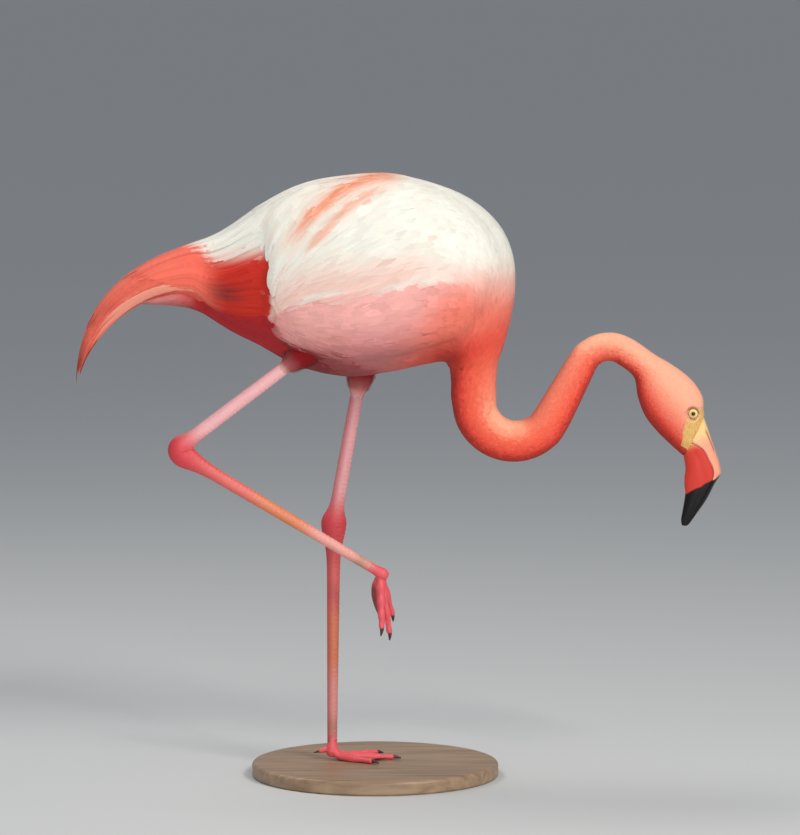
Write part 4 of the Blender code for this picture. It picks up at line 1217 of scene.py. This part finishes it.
# %% The two halves
def bill_half(upper):
    """Rings of one half: an arc from lip to lip round the outside, and a slightly hollow flat side."""
    tuck = -np.array([BILL_DEPTH[1], -BILL_DEPTH[0]]) * 0.0014  # the base reaches a little under the skin
    mouth = CHIN + BILL_MOUTH_SHARE * (BROW - CHIN)
    first = (*(BROW + tuck), *(mouth + tuck), *(CHIN + tuck), BODY_ROWS[-1][4] * 0.97)
    rows = np.array([first, *BILL_ROWS])
    rows = spline(rows, np.linspace(0, len(rows) - 1, 200))
    edge, middle = rows[:, :2] if upper else rows[:, 4:6], rows[:, 2:4]
    away = unit(edge - middle)
    along = np.linspace(0, 1, len(rows))
    tip = np.sqrt(np.clip(1 - ((along - 0.965) / 0.035).clip(0) ** 2, 0.0025, 1))[:, None]  # rounds the end
    origin = middle + away * np.interp(along, (0, 0.8, 1), (0.00025, 0.00018, 0.00006))[:, None]
    edge = origin + (edge - origin) * tip
    rows = np.concatenate([rows[:, :6], rows[:, 6:7] * tip], axis=1)
    angle = np.linspace(-math.pi / 2, math.pi / 2, 41)
    side = power(np.sin(angle), 1.12 if upper else 0.86)
    reach = np.linalg.norm(edge - origin, axis=1)[:, None] * np.abs(np.cos(angle)) ** (0.86 if upper else 1.0)
    width = rows[:, 6:7] * side

    def carved(middle, half, *ends):
        """A groove round the angle `middle` of both sides, between places along the bill."""
        return bell(np.abs(angle) - middle, half) * between(along, *ends)[:, None]

    if upper:
        slit = carved(0.62, 0.085, 0.045, 0.075, 0.195, 0.235)
        width = width - np.sign(side) * 0.0013 * slit
        reach = reach - 0.0004 * carved(0.3, 0.1, 0.0, 0.3, 0.75, 0.97)
    else:
        width = width - np.sign(side) * 0.0005 * carved(1.22, 0.09, 0.02, 0.12, 0.8, 1.0)
    flat = origin[:, None, :] + away[:, None, :] * reach[..., None]
    arc = np.stack([flat[..., 0], width, flat[..., 1]], axis=-1)
    inner = np.linspace(0.86, -0.86, 12)
    hollow = 0.0006 * (1 - inner**2)[None, :] * np.minimum(reach.max(axis=1, keepdims=True) / 0.006, 1)
    flat = origin[:, None, :] + away[:, None, :] * hollow[..., None]
    lips = np.stack([flat[..., 0], rows[:, 6:7] * inner[None, :], flat[..., 1]], axis=-1)
    points, faces = closed_tube(np.concatenate([arc, lips], axis=1) + SHIFT)
    colour = bill_colour(points, upper)
    if upper:
        # Painted shade darkens the nostril slit.
        shade = np.concatenate([slit, np.zeros((len(rows), 12))], axis=1).ravel()
        colour[: len(shade)] *= (1 - 0.75 * shade)[:, None]
    return points, faces, colour


for half, is_upper in (("bill_upper", True), ("bill_lower", False)):
    points, faces, colours = bill_half(is_upper)
    solid_piece(f"{half}_horn", points, faces, HORN, "bill", half, colours=colours)

# %% [markdown]
# ## Eyes and claws
#
# The eye is a ball in a lidded socket, with its rings of colour from the material. Each claw is a short
# horny hook. Both are plain rings joined up, because nothing finer shows at their size.

# %% Eyes
def eyeball(side):
    """A ball with a low clear bulge in front: its radius is r (1 + 0.035 exp(-(a / 0.45)^2)) at an angle a
    from the eye's axis."""
    sign = 1 if side == "left" else -1
    out = np.linspace(0, math.pi, 50)[1:-1]
    around = np.arange(64) * 2 * math.pi / 64
    bulge = 0.035
    radius = EYE_RADIUS * (1 + bulge * bell(out, 0.45))
    x, z = ((radius * np.sin(out))[:, None] * wave(around) for wave in (np.cos, np.sin))
    y = np.broadcast_to((radius * np.cos(out))[:, None], x.shape)
    rings = np.stack([EYE_CENTRE[0] + x, sign * (EYE_OUT + y), EYE_CENTRE[1] + z], axis=-1) + SHIFT
    points, faces = closed_tube(rings)
    points[-2, 1] = sign * (EYE_OUT + EYE_RADIUS * (1 + bulge))
    points[-1, 1] = sign * (EYE_OUT - EYE_RADIUS)
    solid_piece(f"eyeball_{side}", points, faces, EYE, "eye", f"eye_{side}")


for side in LEGS:
    eyeball(side)


# %% Claws
CLAW_RINGS = 18


def claw_lines(side):
    """The middle line and radii of each claw: a short hook that drops a little to its tip."""
    share, along = np.linspace(0, 1, 6), np.linspace(0, 1, CLAW_RINGS)
    thick = CLAW_RADII[0] + (CLAW_RADII[1] - CLAW_RADII[0]) * along**1.4
    for _, degrees, length in TOES:
        middle = toe_middle(side, share, degrees, length)
        radii = np.interp(share, (0, 1), TOE_RADII)
        step = unit(middle[-1] - middle[-2] - (0, 0, radii[-1] - radii[-2]))
        line = middle[-1] + step * (-0.0012 + (CLAW_LENGTH + 0.0012) * along[:, None])
        line[:, 2] += thick - TOE_RADII[1] * (1 - TOE_SINK) + 0.0005
        yield line, thick
    yield hind_toe(side, (HALLUX_LENGTH + 0.002 + 0.0068 * along)[:, None]), 0.0019 - 0.0013 * along


for side in LEGS:
    place = foot_place(side)
    shells = []
    for line, thick in claw_lines(side):
        thick = thick * np.where(np.arange(CLAW_RINGS) == CLAW_RINGS - 1, 0.5, 1.0)
        shells.append(closed_tube(place(round_rings(line, thick, 18, 0.9))))
    points, faces = joined_shells(shells)
    made = make_mesh(f"claws_{side}", points, faces, [HORN], layered("claw", points.shape[:1]))
    finish_piece(made, "claw", *[f"claw_{toe}_{side}" for toe in ("inner", "middle", "outer", "hind")])


# %% [markdown]
# ## Feathers
#
# A vane starts at its root on the skin, leans back over its neighbours and ends at the coat's surface.
# Its middle line is walked out over the surface in short steps, so a long feather still follows the
# body. `scatter` sets the roots in staggered rows and thins them where the body's sections crowd. Flat
# cards with a cut-out image are cheaper, but a thin closed vane has real edges from every side.

# %% Scattering roots
JITTER = 0.22  # how far a root strays from its place, in gaps
GOLDEN_SHARE = 0.618  # staggers the kept roots, so that they don't line up


def scatter(surface, start, end, row_gap, column_gap):
    """Roots (row, column) between two places. The gaps, in metres, are numbers or functions of the place.

    Rows are a gap apart where the surface is longest. Elsewhere they crowd, so a root is kept only where
    the length passed along its column, counted in gaps, goes past a whole number.
    """
    row_gap, column_gap = (
        gap if callable(gap) else (lambda place, gap=gap: np.full(np.shape(place), gap))
        for gap in (row_gap, column_gap)
    )
    rows = np.arange(int(row_of(surface, start)), int(row_of(surface, end)) + 1)
    reach = surface.table[rows, :COLUMNS, 6].max(axis=1)
    gap = row_gap(surface.place[rows])
    count = running(reach / gap)[: len(rows)]
    lines = np.interp(np.arange(0, count[-1], 1.0), count, rows)
    girth = surface.table[np.round(lines).astype(int), :COLUMNS, 7].sum(axis=1)
    number = np.maximum(6, np.round(girth / column_gap(surface.place_at(lines)))).astype(int)
    line = np.repeat(np.arange(len(lines)), number)
    within = np.arange(len(line)) - np.repeat(np.cumsum(number) - number, number)
    i = lines[line]
    j = (within + 0.5 * (line % 2) + JITTER * rng.uniform(-1, 1, len(line))) * COLUMNS / number[line]
    passed = np.cumsum(surface.table[:, :COLUMNS, 6] / row_gap(surface.place)[:, None], axis=0)

    def gaps_passed(at):
        first, column = np.minimum(at.astype(int), surface.rows - 2), np.mod(j, COLUMNS).astype(int)
        return passed[first, column] + (passed[first + 1, column] - passed[first, column]) * (at - first)

    offset = np.mod(np.floor(j * number[line] / COLUMNS) * GOLDEN_SHARE, 1)
    before = lines[np.maximum(line - 1, 0)]
    kept = (np.floor(gaps_passed(i) + offset) > np.floor(gaps_passed(before) + offset)) | (line == 0)
    per_row = row_gap(surface.place_at(i)) / np.interp(i, rows, reach)
    i = i + JITTER * rng.uniform(-1, 1, len(i)) * per_row
    return i[kept], np.mod(j[kept], COLUMNS)


def chosen(kept, *values):
    return (value[kept] for value in values)


def side_of(j):
    """1 on the bird's left, -1 on its right, and the angle from the back line in degrees."""
    degrees = j * 360 / COLUMNS
    return np.where(degrees < 180, 1.0, -1.0), np.minimum(degrees, 360 - degrees)


# %% The pattern of a vane
def vane_pattern(steps, across):
    """Faces of one vane and, for each of its points, its step and its place across from -1 to 1."""
    ring = 2 * across - 2
    top = np.linspace(-1, 1, across)
    around = np.concatenate([top, top[::-1][1:-1]])
    upper = np.concatenate([np.ones(across), -np.ones(across - 2)])
    upper[[0, across - 1]] = 0
    j = np.arange(ring)
    k = (j + 1) % ring
    root = np.stack([np.zeros(ring, int), 1 + j, 1 + k], axis=1)
    i = np.arange(steps - 2)[:, None]
    quads = np.stack(
        [1 + i * ring + j, 1 + (i + 1) * ring + j, 1 + (i + 1) * ring + k, 1 + i * ring + k], axis=-1
    ).reshape(-1, 4)
    last = 1 + (steps - 2) * ring
    tip = np.stack([np.full(ring, last + ring), last + k, last + j], axis=1)
    step = np.concatenate([[0], np.repeat(np.arange(1, steps), ring), [steps]])
    cross = np.concatenate([[0], np.tile(around, steps - 1), [0]])
    layer = np.concatenate([[0], np.tile(upper, steps - 1), [0]])
    return quads, np.concatenate([root, tip]), step, cross, layer


print("a small vane has", len(vane_pattern(4, 3)[2]), "points and a long plume", len(vane_pattern(22, 7)[2]))


# %% The vane builder
def vanes(name, surface, i, j, length, half, slot, material, *, steps=4, across=3, turn=0.0, bend=0.0,
          depth=0.004, rise=4.5, lift=0.0, blunt=4.0, thick=0.00012, cup=0.02, roll=0.02, spread=26.0,
          tone=0.035, smear=0.0015, early=0.75, tint=None, paint=markings, replaces=(), own=0.3):
    """Closed vanes on a surface, one per root.

    The middle line leaves (i, j) towards the tail, turned by `turn` degrees down the side and `bend` more by
    its tip. Height over the surface is lift - depth (1 - u)^rise, so a tip lies flat on those behind. The
    outline is half * (1 - (1 - u)^2.4) * (1 - u^blunt)^0.55. `roll` tilts each vane over its neighbour.
    Each vane reads the markings up to a few `smear` away from where it lies, which frays their borders.
    """
    count = len(i)
    length, half, depth, lift, turn, bend, thick = (
        np.broadcast_to(np.asarray(value, float), (count,))[:, None]
        for value in (length, half, depth, lift, turn, bend, thick)
    )
    side = side_of(j)[0][:, None]
    u = 1 - (1 - np.linspace(0, 1, steps + 1) ** early) ** 1.2
    line_i, line_j, angle = (np.empty((count, steps + 1)) for _ in range(3))
    line_i[:, 0], line_j[:, 0] = i, j
    for k in range(steps + 1):
        angle[:, k] = np.radians(turn + bend * u[k])[:, 0]
        if k < steps:
            at_i, at_j, go = line_i[:, k], line_j[:, k], length[:, 0] * (u[k + 1] - u[k]) / 4
            for _ in range(4):
                gi, gj = surface.steps_at(at_i, at_j)
                at_i = at_i - np.cos(angle[:, k]) * go / gi
                at_j = at_j + np.sin(angle[:, k]) * side[:, 0] * go / gj
            line_i[:, k + 1], line_j[:, k + 1] = at_i, at_j
    quads, ends, step, cross, layer = vane_pattern(steps, across)
    width = half * (1 - (1 - u) ** 2.4) * np.maximum(1 - u**blunt, 0) ** 0.55
    mid_i, mid_j, way, wide, share = line_i[:, step], line_j[:, step], angle[:, step], width[:, step], u[step]
    _, _, gi, gj = surface.at(mid_i, mid_j)
    off_i = np.sin(way) * side * wide * cross / gi
    off_j = np.clip(np.cos(way) * wide * cross / gj, -spread, spread)
    at, normal, _, _ = surface.at(mid_i + off_i, mid_j + off_j)
    tilt = side * roll + rng.normal(0, 0.006, (count, 1))
    height = lift - depth * (1 - share) ** rise - cup * wide * cross**2 + tilt * wide * cross
    height = height + thick * layer * (1 - 0.5 * np.abs(cross))
    points = at + normal * height[..., None]
    place = surface.place_at(mid_i)
    read = points + rng.normal(0, smear, (count, 1, 3)) * (1, 0, 1)
    colour = paint(read, place) * (1 - own) + paint(read[:, :1], place[:, :1]) * own
    # Each vane gets its own random tone and paler edges near its tip, and painted shade darkens its root, where
    # the vanes above cover it.
    tone_and_root_shade = 1 + rng.normal(0, tone, (count, 1)) - 0.22 * (1 - share) ** 3 + 0.04 * np.abs(cross) * share
    colour = colour * tone_and_root_shade[..., None]
    if tint is not None:
        colour = tint(colour, share, cross * side)
    offsets = (np.arange(count) * len(step))[:, None, None]
    faces = [(quads + offsets).reshape(-1, 4), (ends + offsets).reshape(-1, 3)]
    root_uv = 0.01 + 0.97 * np.stack([i / surface.rows, np.mod(j, COLUMNS) / COLUMNS], axis=1)
    bake = root_uv[:, None, :] + 0.003 * np.stack([share, (cross + 1) / 2], axis=-1)
    vane = np.stack([cross * wide, share * length], axis=-1) * 100
    maps = {"OFBake": bake.reshape(-1, 2), "vane": vane.reshape(-1, 2)}
    rim = np.tile((np.abs(cross) == 1) | (step == 0) | (step == steps), count)
    made = make_mesh(name, points.reshape(-1, 3), faces, [material], colour.reshape(-1, 3), maps, rim=rim)
    return finish_piece(made, slot, *replaces)


# %% [markdown]
# ## Small feathers of head, neck and body
#
# One set of rules runs from bill to tail: feathers grow from three millimetres on the face to three
# centimetres on the shoulders.

# %% Contour feather sizes
FEATHER_LENGTHS = (  # (place, length)
    (-0.5, 0.028), (1, 0.03), (4, 0.03), (8, 0.027), (11, 0.02), (NECK_START, 0.0145),
    (NECK_START + 4, 0.0115), (HEAD_START - 2, 0.0085), (HEAD_START + 1.5, 0.0058),
    (BODY_END - 2, 0.0044), (BODY_END, 0.0036),
)


def contour(name, start, end, slot, steps, wanted=None, along=0.23, over=0.165, **how):
    """Contour feathers between two places along the body. Their rows stand `along` of a feather's length
    apart, and the feathers of a row `over` of it."""
    def length_at(place):
        return line_at(FEATHER_LENGTHS, place)

    i, j = scatter(coat, start, end, lambda p: length_at(p) * along, lambda p: length_at(p) * over)
    if wanted is not None:
        i, j = chosen(wanted(i, j), i, j)
    place = coat.place_at(i)
    length = length_at(place) * rng.uniform(0.88, 1.12, len(i))
    half = length * np.interp(place, (0, NECK_START), (0.27, 0.24))
    turn = rng.normal(0, 3.5, len(i))
    depth = coat_depth(place) * (1 - 0.8 * thinning(coat.at(i, j)[0], place))
    return vanes(
        name, coat, i, j, length, half, slot, FINE_FEATHER, steps=steps, turn=turn, depth=depth,
        lift=rng.normal(0, 0.01, len(i)) * depth, thick=0.00006 + 0.008 * depth, **how,
    )


def feathered_face(i, j):
    """True where the head grows feathers: not on the lores, the eye or its lid."""
    points = coat.at(i, j)[0]
    return (bare_face(points) < 0.5) & (from_eye(points) > 0.0076)


def clear_of_plumes(i, j):
    """False in the red behind the folded wing, where the plumes alone make the surface."""
    points = coat.at(i, j)[0]
    x, h = points[:, 0] - SHIFT[0], seen_height(points)
    return (x > -0.12) | (h > line_at(WEDGE_LINE, x) - 0.004) | (h < line_at(UNDER_LINE, x) + 0.006)


# %% Laying the contour feathers
HEAD_JOIN, CHEEK = HEAD_START - 0.3, HEAD_START + 3.15
NECK_MIDDLE, NECK_FOOT = NECK_START + 4.5, NECK_START - 0.5
for part, start, end, tone, steps, how in (
    ("face", CHEEK, BODY_END - 0.02, "coral", 4, dict(wanted=feathered_face)),
    ("nape", HEAD_JOIN, CHEEK, "coral", 4, {}),
    ("neck_upper", NECK_MIDDLE, HEAD_JOIN, "coral", 4, {}),
    ("neck_lower", NECK_FOOT, NECK_MIDDLE, "coral", 5, {}),
    ("breast", 8.0, NECK_FOOT, "coral", 6, dict(along=0.18, over=0.145, own=0.15)),
    ("flank", 4.0, 8.0, "pink", 6, dict(along=0.2, over=0.155)),
    ("rump", -0.1, 4.0, "red", 6, dict(wanted=clear_of_plumes, own=0.0)),
):
    contour(f"feathers_{part}", start, end, f"plumage_{tone}", steps, **how)

# %% [markdown]
# ## Wing, shoulders and plumes
#
# The wing's coverts lie in a lobe on the lower side. Over them fall the long scapulars of the shoulder,
# which sweep down towards the tail, and behind both come the drooping plumes.

# %% Aiming feathers and streaking them
def aimed(i, j, aim_x, aim_z):
    """The way from each root to a point (x, z) on its side: its turn in degrees from tailwards, and its
    length seen from the side. Its parts tailwards and down the side give the turn."""
    side = side_of(j)[0]
    here = coat.at(i, j)[0]
    tailwards = unit(coat.at(i - 3, j)[0] - here)
    down = unit(coat.at(i, j + 2 * side)[0] - here)
    way = np.stack([aim_x + SHIFT[0], side * 0.08, aim_z], axis=1) - here
    turn = np.degrees(np.arctan2((way * down).sum(axis=1), (way * tailwards).sum(axis=1)))
    return turn, 1.06 * np.hypot(way[:, 0], way[:, 2])


def wing_roots(row_gap, column_gap):
    """Roots over the folded wing and the back, with their x, z, height above the shoulder line and angle."""
    i, j = scatter(coat, 0.8, 9.8, row_gap, column_gap)
    points = coat.at(i, j)[0]
    x, h = points[:, 0] - SHIFT[0], seen_height(points)
    return i, j, x, points[:, 2], h - line_at(SHOULDER_LINE, x), side_of(j)[1]


def pale_hem(colour, share, down):
    """White along the lower edge and the end of a feather."""
    edge = smooth(np.broadcast_to(down, colour.shape[:2]), 0.2, 1.0) * smooth(share, 0.45, 0.9)
    return mix(colour, "white", 0.55 * edge)


def streaked(colour, share, down):
    """Each feather a little whiter or warmer than the next, with a pale lower edge."""
    warm = np.clip(rng.normal(0.0, 0.09, (len(colour), 1)), -0.2, 0.16)
    colour = mix(colour, "peach", np.maximum(warm, 0) * smooth(share, 0.2, 0.6))
    colour = mix(colour, "white", np.maximum(-warm, 0) * np.ones_like(share))
    return pale_hem(colour, share, down)


# %% Wing coverts
i, j, x, z, above, degrees = wing_roots(0.008, 0.0058)
bottom = eased(WING_ROWS, np.clip(1 - coat.place_at(i) / WING_SHOULDER_ROW, 0, 1))[:, 1]
kept = (above < 0.01) & (degrees < bottom - 3) & (x > -0.085) & (x < 0.118)
i, j, x, above = chosen(kept, i, j, x, above)
turn, reach = aimed(i, j, -0.106 + 0 * x, 0.516 + 0.3 * np.clip(above, -0.07, 0))
length = np.interp(x, (-0.08, 0.02, 0.12), (0.046, 0.04, 0.026)) * rng.uniform(0.9, 1.1, len(i))
length, turn = np.minimum(length, reach + 0.003), np.clip(turn, -30, 30)
vanes(
    "wing_coverts", coat, i, j, length, length * 0.17 + 0.001, "plumage_pink", BROAD_FEATHER, steps=6,
    turn=0.5 * turn + rng.normal(0, 2.5, len(i)), bend=0.7 * turn, depth=0.005, tone=0.05,
    lift=0.0012 * smooth(x, 0.118, 0.07), paint=wing_markings, replaces=("wing_left", "wing_right"),
)

# %% Scapulars
i, j, x, z, above, degrees = wing_roots(0.0085, 0.0066)
kept = (above > 0.006) & (x > -0.1 + 0.01 * smooth(degrees, 20, 45)) & (x < 0.104)
i, j, x, z, degrees = chosen(kept, i, j, x, z, degrees)
aim_z = np.interp(z, (0.545, 0.6, 0.66), (0.519, 0.545, 0.582))
turn, reach = aimed(i, j, -0.107 + 0.07 * (0.582 - aim_z), aim_z)
turn = np.clip(turn, -25, 82) * smooth(degrees, 5, 26)
length = np.interp(x, (-0.09, 0.02, 0.104), (0.066, 0.058, 0.03)) * rng.uniform(0.88, 1.1, len(i))
length = np.where(degrees > 16, np.minimum(length, reach + 0.001), np.minimum(length, 0.046))
vanes(
    "scapulars", coat, i, j, length, length * 0.085 + 0.0016, "plumage_white", BROAD_FEATHER,
    steps=9, across=5, turn=0.55 * turn + rng.normal(0, 2.5, len(i)), bend=0.85 * turn, depth=0.005,
    lift=0.0018 * smooth(x, 0.106, 0.04) * (0.25 + 0.75 * smooth(degrees, 18, 60)), blunt=3.0,
    tint=streaked, paint=wing_markings, own=0.15,
)


# %% Tertials and drooping plumes
def plume_tint(colour, share, down):
    """Each long plume darker or paler than the next, with pale edges, paler towards its end."""
    pale = np.clip(rng.normal(0.0, 0.09, (len(colour), 1)), 0, 0.3)
    edge = np.broadcast_to(np.abs(down) ** 3, colour.shape[:2])
    return mix(colour, "plume_edge", (0.06 * edge + pale) * smooth(share, 0.5, 0.85))


def band_tint(colour, share, down):
    """The pale plumes that hem the lower side, whitest near their front, where a painted highlight is added."""
    pale = mix(colour, "plume_hem", 0.9 * smooth(share, 0.2, 0.36) * smooth(share, 1.0, 0.8))
    return mix(pale, "white", 0.6 * smooth(share, 0.22, 0.27) * smooth(share, 0.42, 0.32))


# %% Layers of plumes
def plume_layer(name, places, angles, reach, half, lift, number, **how):
    """Long plumes of both sides: rooted between two places and two angles, ending near a share of the arc."""
    f = np.tile((np.arange(number) + 0.5) / number, 2)
    degrees = angles[0] + (angles[1] - angles[0]) * f
    left = np.arange(2 * number) < number
    i = row_of(coat, rng.uniform(*places, 2 * number))
    j = np.where(left, degrees, 360 - degrees) * COLUMNS / 360
    stop = row_of(coat, -np.interp(f, (0, 1), reach) * rng.uniform(0.85, 1.0, 2 * number))
    back = coat.table[:, 0, 6]
    gone, rows = running((back[1:] + back[:-1]) / 2), np.arange(coat.rows)
    length = np.interp(i, rows, gone) - np.interp(stop, rows, gone)
    shrink = np.interp(degrees, (0, 60, 118), (1.0, 0.93, 0.8))
    return vanes(
        name, coat, i, j, length * shrink, half, "plumage_red", BROAD_FEATHER, steps=22, across=7, spread=18,
        turn=rng.normal(0, 1.5, len(i)), depth=0.007, rise=9.0, lift=lift, thick=0.0002, cup=0.1,
        roll=0.12, tone=0.07, smear=0.003, own=0.0, early=1.0, **{"tint": plume_tint, "blunt": 2.2, **how},
    )


plume_layer(
    "plumes_long", (2.3, 3.2), (3, 122), (1.06, 0.97), 0.0066, -0.001, 44, blunt=2.8,
    replaces=("plumes_left", "plumes_right"),
)
plume_layer("plumes_middle", (2.2, 3.2), (5, 118), (0.78, 0.66), 0.0062, -0.0002, 36)
plume_layer("tertials", (2.2, 3.4), (10, 116), (0.44, 0.26), 0.0064, 0.0006, 38)
plume_layer("plumes_hem", (2.3, 3.0), (103, 116), (0.97, 0.9), 0.004, 0.0003, 5, tint=band_tint)

# %% [markdown]
# ## Tail, undertail and thighs
#
# A dozen stiff feathers make the short tail, soft crimson ones close the belly behind the legs, and
# small ones clothe the thighs. The same vane builder lays them on surfaces of their own.

# %% Tail feathers
def tail_fan():
    """The stiff tail feathers: a shallow fan on the tail's upper side, rooted inside its base."""
    f = np.linspace(-1, 1, 12)
    j = np.mod(f * 62, 360) * COLUMNS / 360
    i = row_of(tail, -0.06) - 2 * np.abs(f)
    return vanes(
        "tail_feathers", tail, i, j, 0.066 - 0.01 * np.abs(f), 0.0088, "plumage_red", BROAD_FEATHER,
        steps=12, across=5, depth=0.01, lift=-0.0015 - 0.0004 * np.abs(f), blunt=4.5, thick=0.0002, cup=0.0,
        roll=0.0, spread=14, replaces=("tail",),
    )


tail_fan()


def undertail_paint(points, place):
    """Crimson below, partly its own red and partly painted shade, red at the sides and pale at the tip."""
    tip = smooth(points[..., 0] - SHIFT[0], -0.195, -0.225)
    sides = smooth(seen_height(points), 0.516, 0.53)
    return layered("crimson", tip.shape, [("red", sides), ("undertail", 0.8 * tip)])


i, j = scatter(tail, -0.3, 3.2, 0.0085, 0.0068)
kept = side_of(j)[1] > np.interp(tail.place_at(i), (-0.25, 0.2, 3.2), (60, 98, 118))
i, j = chosen(kept, i, j)
vanes(
    "undertail_coverts", tail, i, j, 0.03 * rng.uniform(0.9, 1.15, len(i)), 0.0075, "plumage_red",
    FINE_FEATHER, steps=6, depth=0.007, lift=0.0002, spread=16, paint=undertail_paint,
)


# %% Thigh feathers
def thigh_surface(side):
    """The feathered thigh as a surface whose rows run from its lower end up to the hip."""
    path, gone, _ = leg_path(*LEGS[side])
    at = np.linspace(THIGH_LENGTH[side] + 0.004, 0.004, 60)
    wide = thigh_half(side, at) * (1 - 0.3 * smooth(at, THIGH_LENGTH[side] - 0.018, THIGH_LENGTH[side] + 0.004))
    rings = tube_along(path + SHIFT, gone, at, wide * 1.1, wide, COLUMNS)
    return Surface(rings[:, ::-1], np.linspace(0, 1, len(at)))


def thigh_paint(points, place):
    """Pale at the lower end, then rose, and crimson where the leg leaves the belly, partly its own red and
    partly painted shade as on the belly.
    """
    layers = [("rose", smooth(place, 0.02, 0.12)), ("crimson", smooth(place, 0.1, 0.42))]
    return layered("thigh", points.shape[:-1], layers)


for side in LEGS:
    surface = thigh_surface(side)
    i, j = scatter(surface, 0.2, 0.98, 0.0028, 0.0019)
    vanes(
        f"thigh_feathers_{side}", surface, i, j, 0.015 * rng.uniform(0.75, 1.15, len(i)), 0.002,
        "plumage_white", FINE_FEATHER, steps=5, depth=0.0036, blunt=2.5, turn=rng.normal(0, 7, len(i)),
        paint=thigh_paint,
    )

# %% [markdown]
# ## The base
#
# On its one small foot the bird would fall over, so it stands on a plain turned base. A modifier could
# round its edge, but rings from top to underside say the same in numbers.

# %% Base
def stand_base(edge=0.004, bevel=0.002, sides=128):
    """Rings from the middle of the base's top, over its rounded edge, to the middle of its underside."""
    low, high = (np.array(corner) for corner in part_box("stand_base"))
    middle, radius = (low + high) / 2, (high[0] - low[0]) / 2
    turn = np.linspace(math.pi / 2, 0, 7)
    inner = radius - edge
    out = np.concatenate([[0.02, 0.6 * radius, inner - 0.001], inner + edge * np.cos(turn)])
    up = np.concatenate([np.full(3, high[2]), high[2] - edge + edge * np.sin(turn)])
    out = np.concatenate([out, [radius, radius, radius - bevel, radius - bevel - 0.001, 0.02]])
    up = np.concatenate([up, low[2] + np.array([bevel + 0.001, bevel, 0, 0, 0])])
    angle = np.linspace(0, 2 * math.pi, sides, endpoint=False)
    x, y = (middle[k] + out[:, None] * wave(angle) for k, wave in enumerate((np.cos, np.sin)))
    rings = np.stack([x, y, np.broadcast_to(up[:, None] - RAISE, x.shape)], axis=-1)
    points, faces = closed_tube(rings)
    solid_piece("base_board", points, faces, WOOD, "stand_wood", "stand_base")


stand_base()

# %% [markdown]
# ## Light, floor and camera
#
# The floor is plain and pale. A key light stands high in front of the bird, as the sun does, with a
# broad fill beside the camera and a rim light behind.

# %% Stage
corners = 60.0 * np.array([(-1, -1, 0), (1, -1, 0), (1, 1, 0), (-1, 1, 0)])
floor_paint = new_material("floor_paint", Base_Color=(0.56, 0.57, 0.57, 1), Roughness=0.9)[0]
floor = make_mesh("floor", corners, [np.array([[0, 1, 2, 3]])], [floor_paint])
floor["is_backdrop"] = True


def area_light(name, location, target, size, power, colour):
    data = bpy.data.lights.new(name, "AREA")
    data.size, data.energy, data.color = size, power, colour
    made = bpy.data.objects.new(name, data)
    made.location = location
    x, y, z = np.array(location) - np.array(target)
    made.rotation_euler = (math.atan2(math.hypot(x, y), z), 0.0, math.atan2(y, x) + math.pi / 2)
    scene.collection.objects.link(made)
    made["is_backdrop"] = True


area_light("key", (1.6, -2.1, 2.4), (0, 0, 0.45), 0.9, 66, (1.0, 0.96, 0.89))
area_light("fill", (0.2, -3.0, 0.9), (0, 0, 0.35), 2.2, 41, (0.96, 0.98, 1.0))
area_light("rim", (-1.2, 0.7, 2.4), (-0.1, 0, 0.5), 1.0, 23, (1.0, 0.97, 0.93))

world = bpy.data.worlds.new("studio")
world.use_nodes = True
colour, strength = world.node_tree.nodes["Background"].inputs[:2]
colour.default_value, strength.default_value = (0.62, 0.66, 0.72, 1), 0.5
scene.world = world

# %% Camera and finish
ELEVATION = math.radians(6)
AIM = np.array([0.02825, 0.0, RAISE + 0.390415 / math.cos(ELEVATION)]) + SHIFT
DISTANCE, SEEN_SPAN = 6.0, 0.94355  # to the aim, and the longer side of what is seen there, in metres
camera_data = bpy.data.cameras.new("camera")
camera_data.sensor_width = 36.0
camera_data.lens = 36.0 * DISTANCE / SEEN_SPAN
camera = bpy.data.objects.new("camera", camera_data)
camera.location = AIM + DISTANCE * np.array([0.0, -math.cos(ELEVATION), math.sin(ELEVATION)])
camera.rotation_euler = (math.pi / 2 - ELEVATION, 0.0, 0.0)
camera_data.clip_end = 200
scene.collection.objects.link(camera)
scene.camera = camera
scene.view_settings.view_transform = "Standard"
scene.view_settings.exposure = 0.0

shown = sum(len(o.data.loop_triangles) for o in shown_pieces())
print("shown triangles", shown)
visual_box = [list(corner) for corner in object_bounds()]
print("visual box", [[round(v, 4) for v in corner] for corner in visual_box])
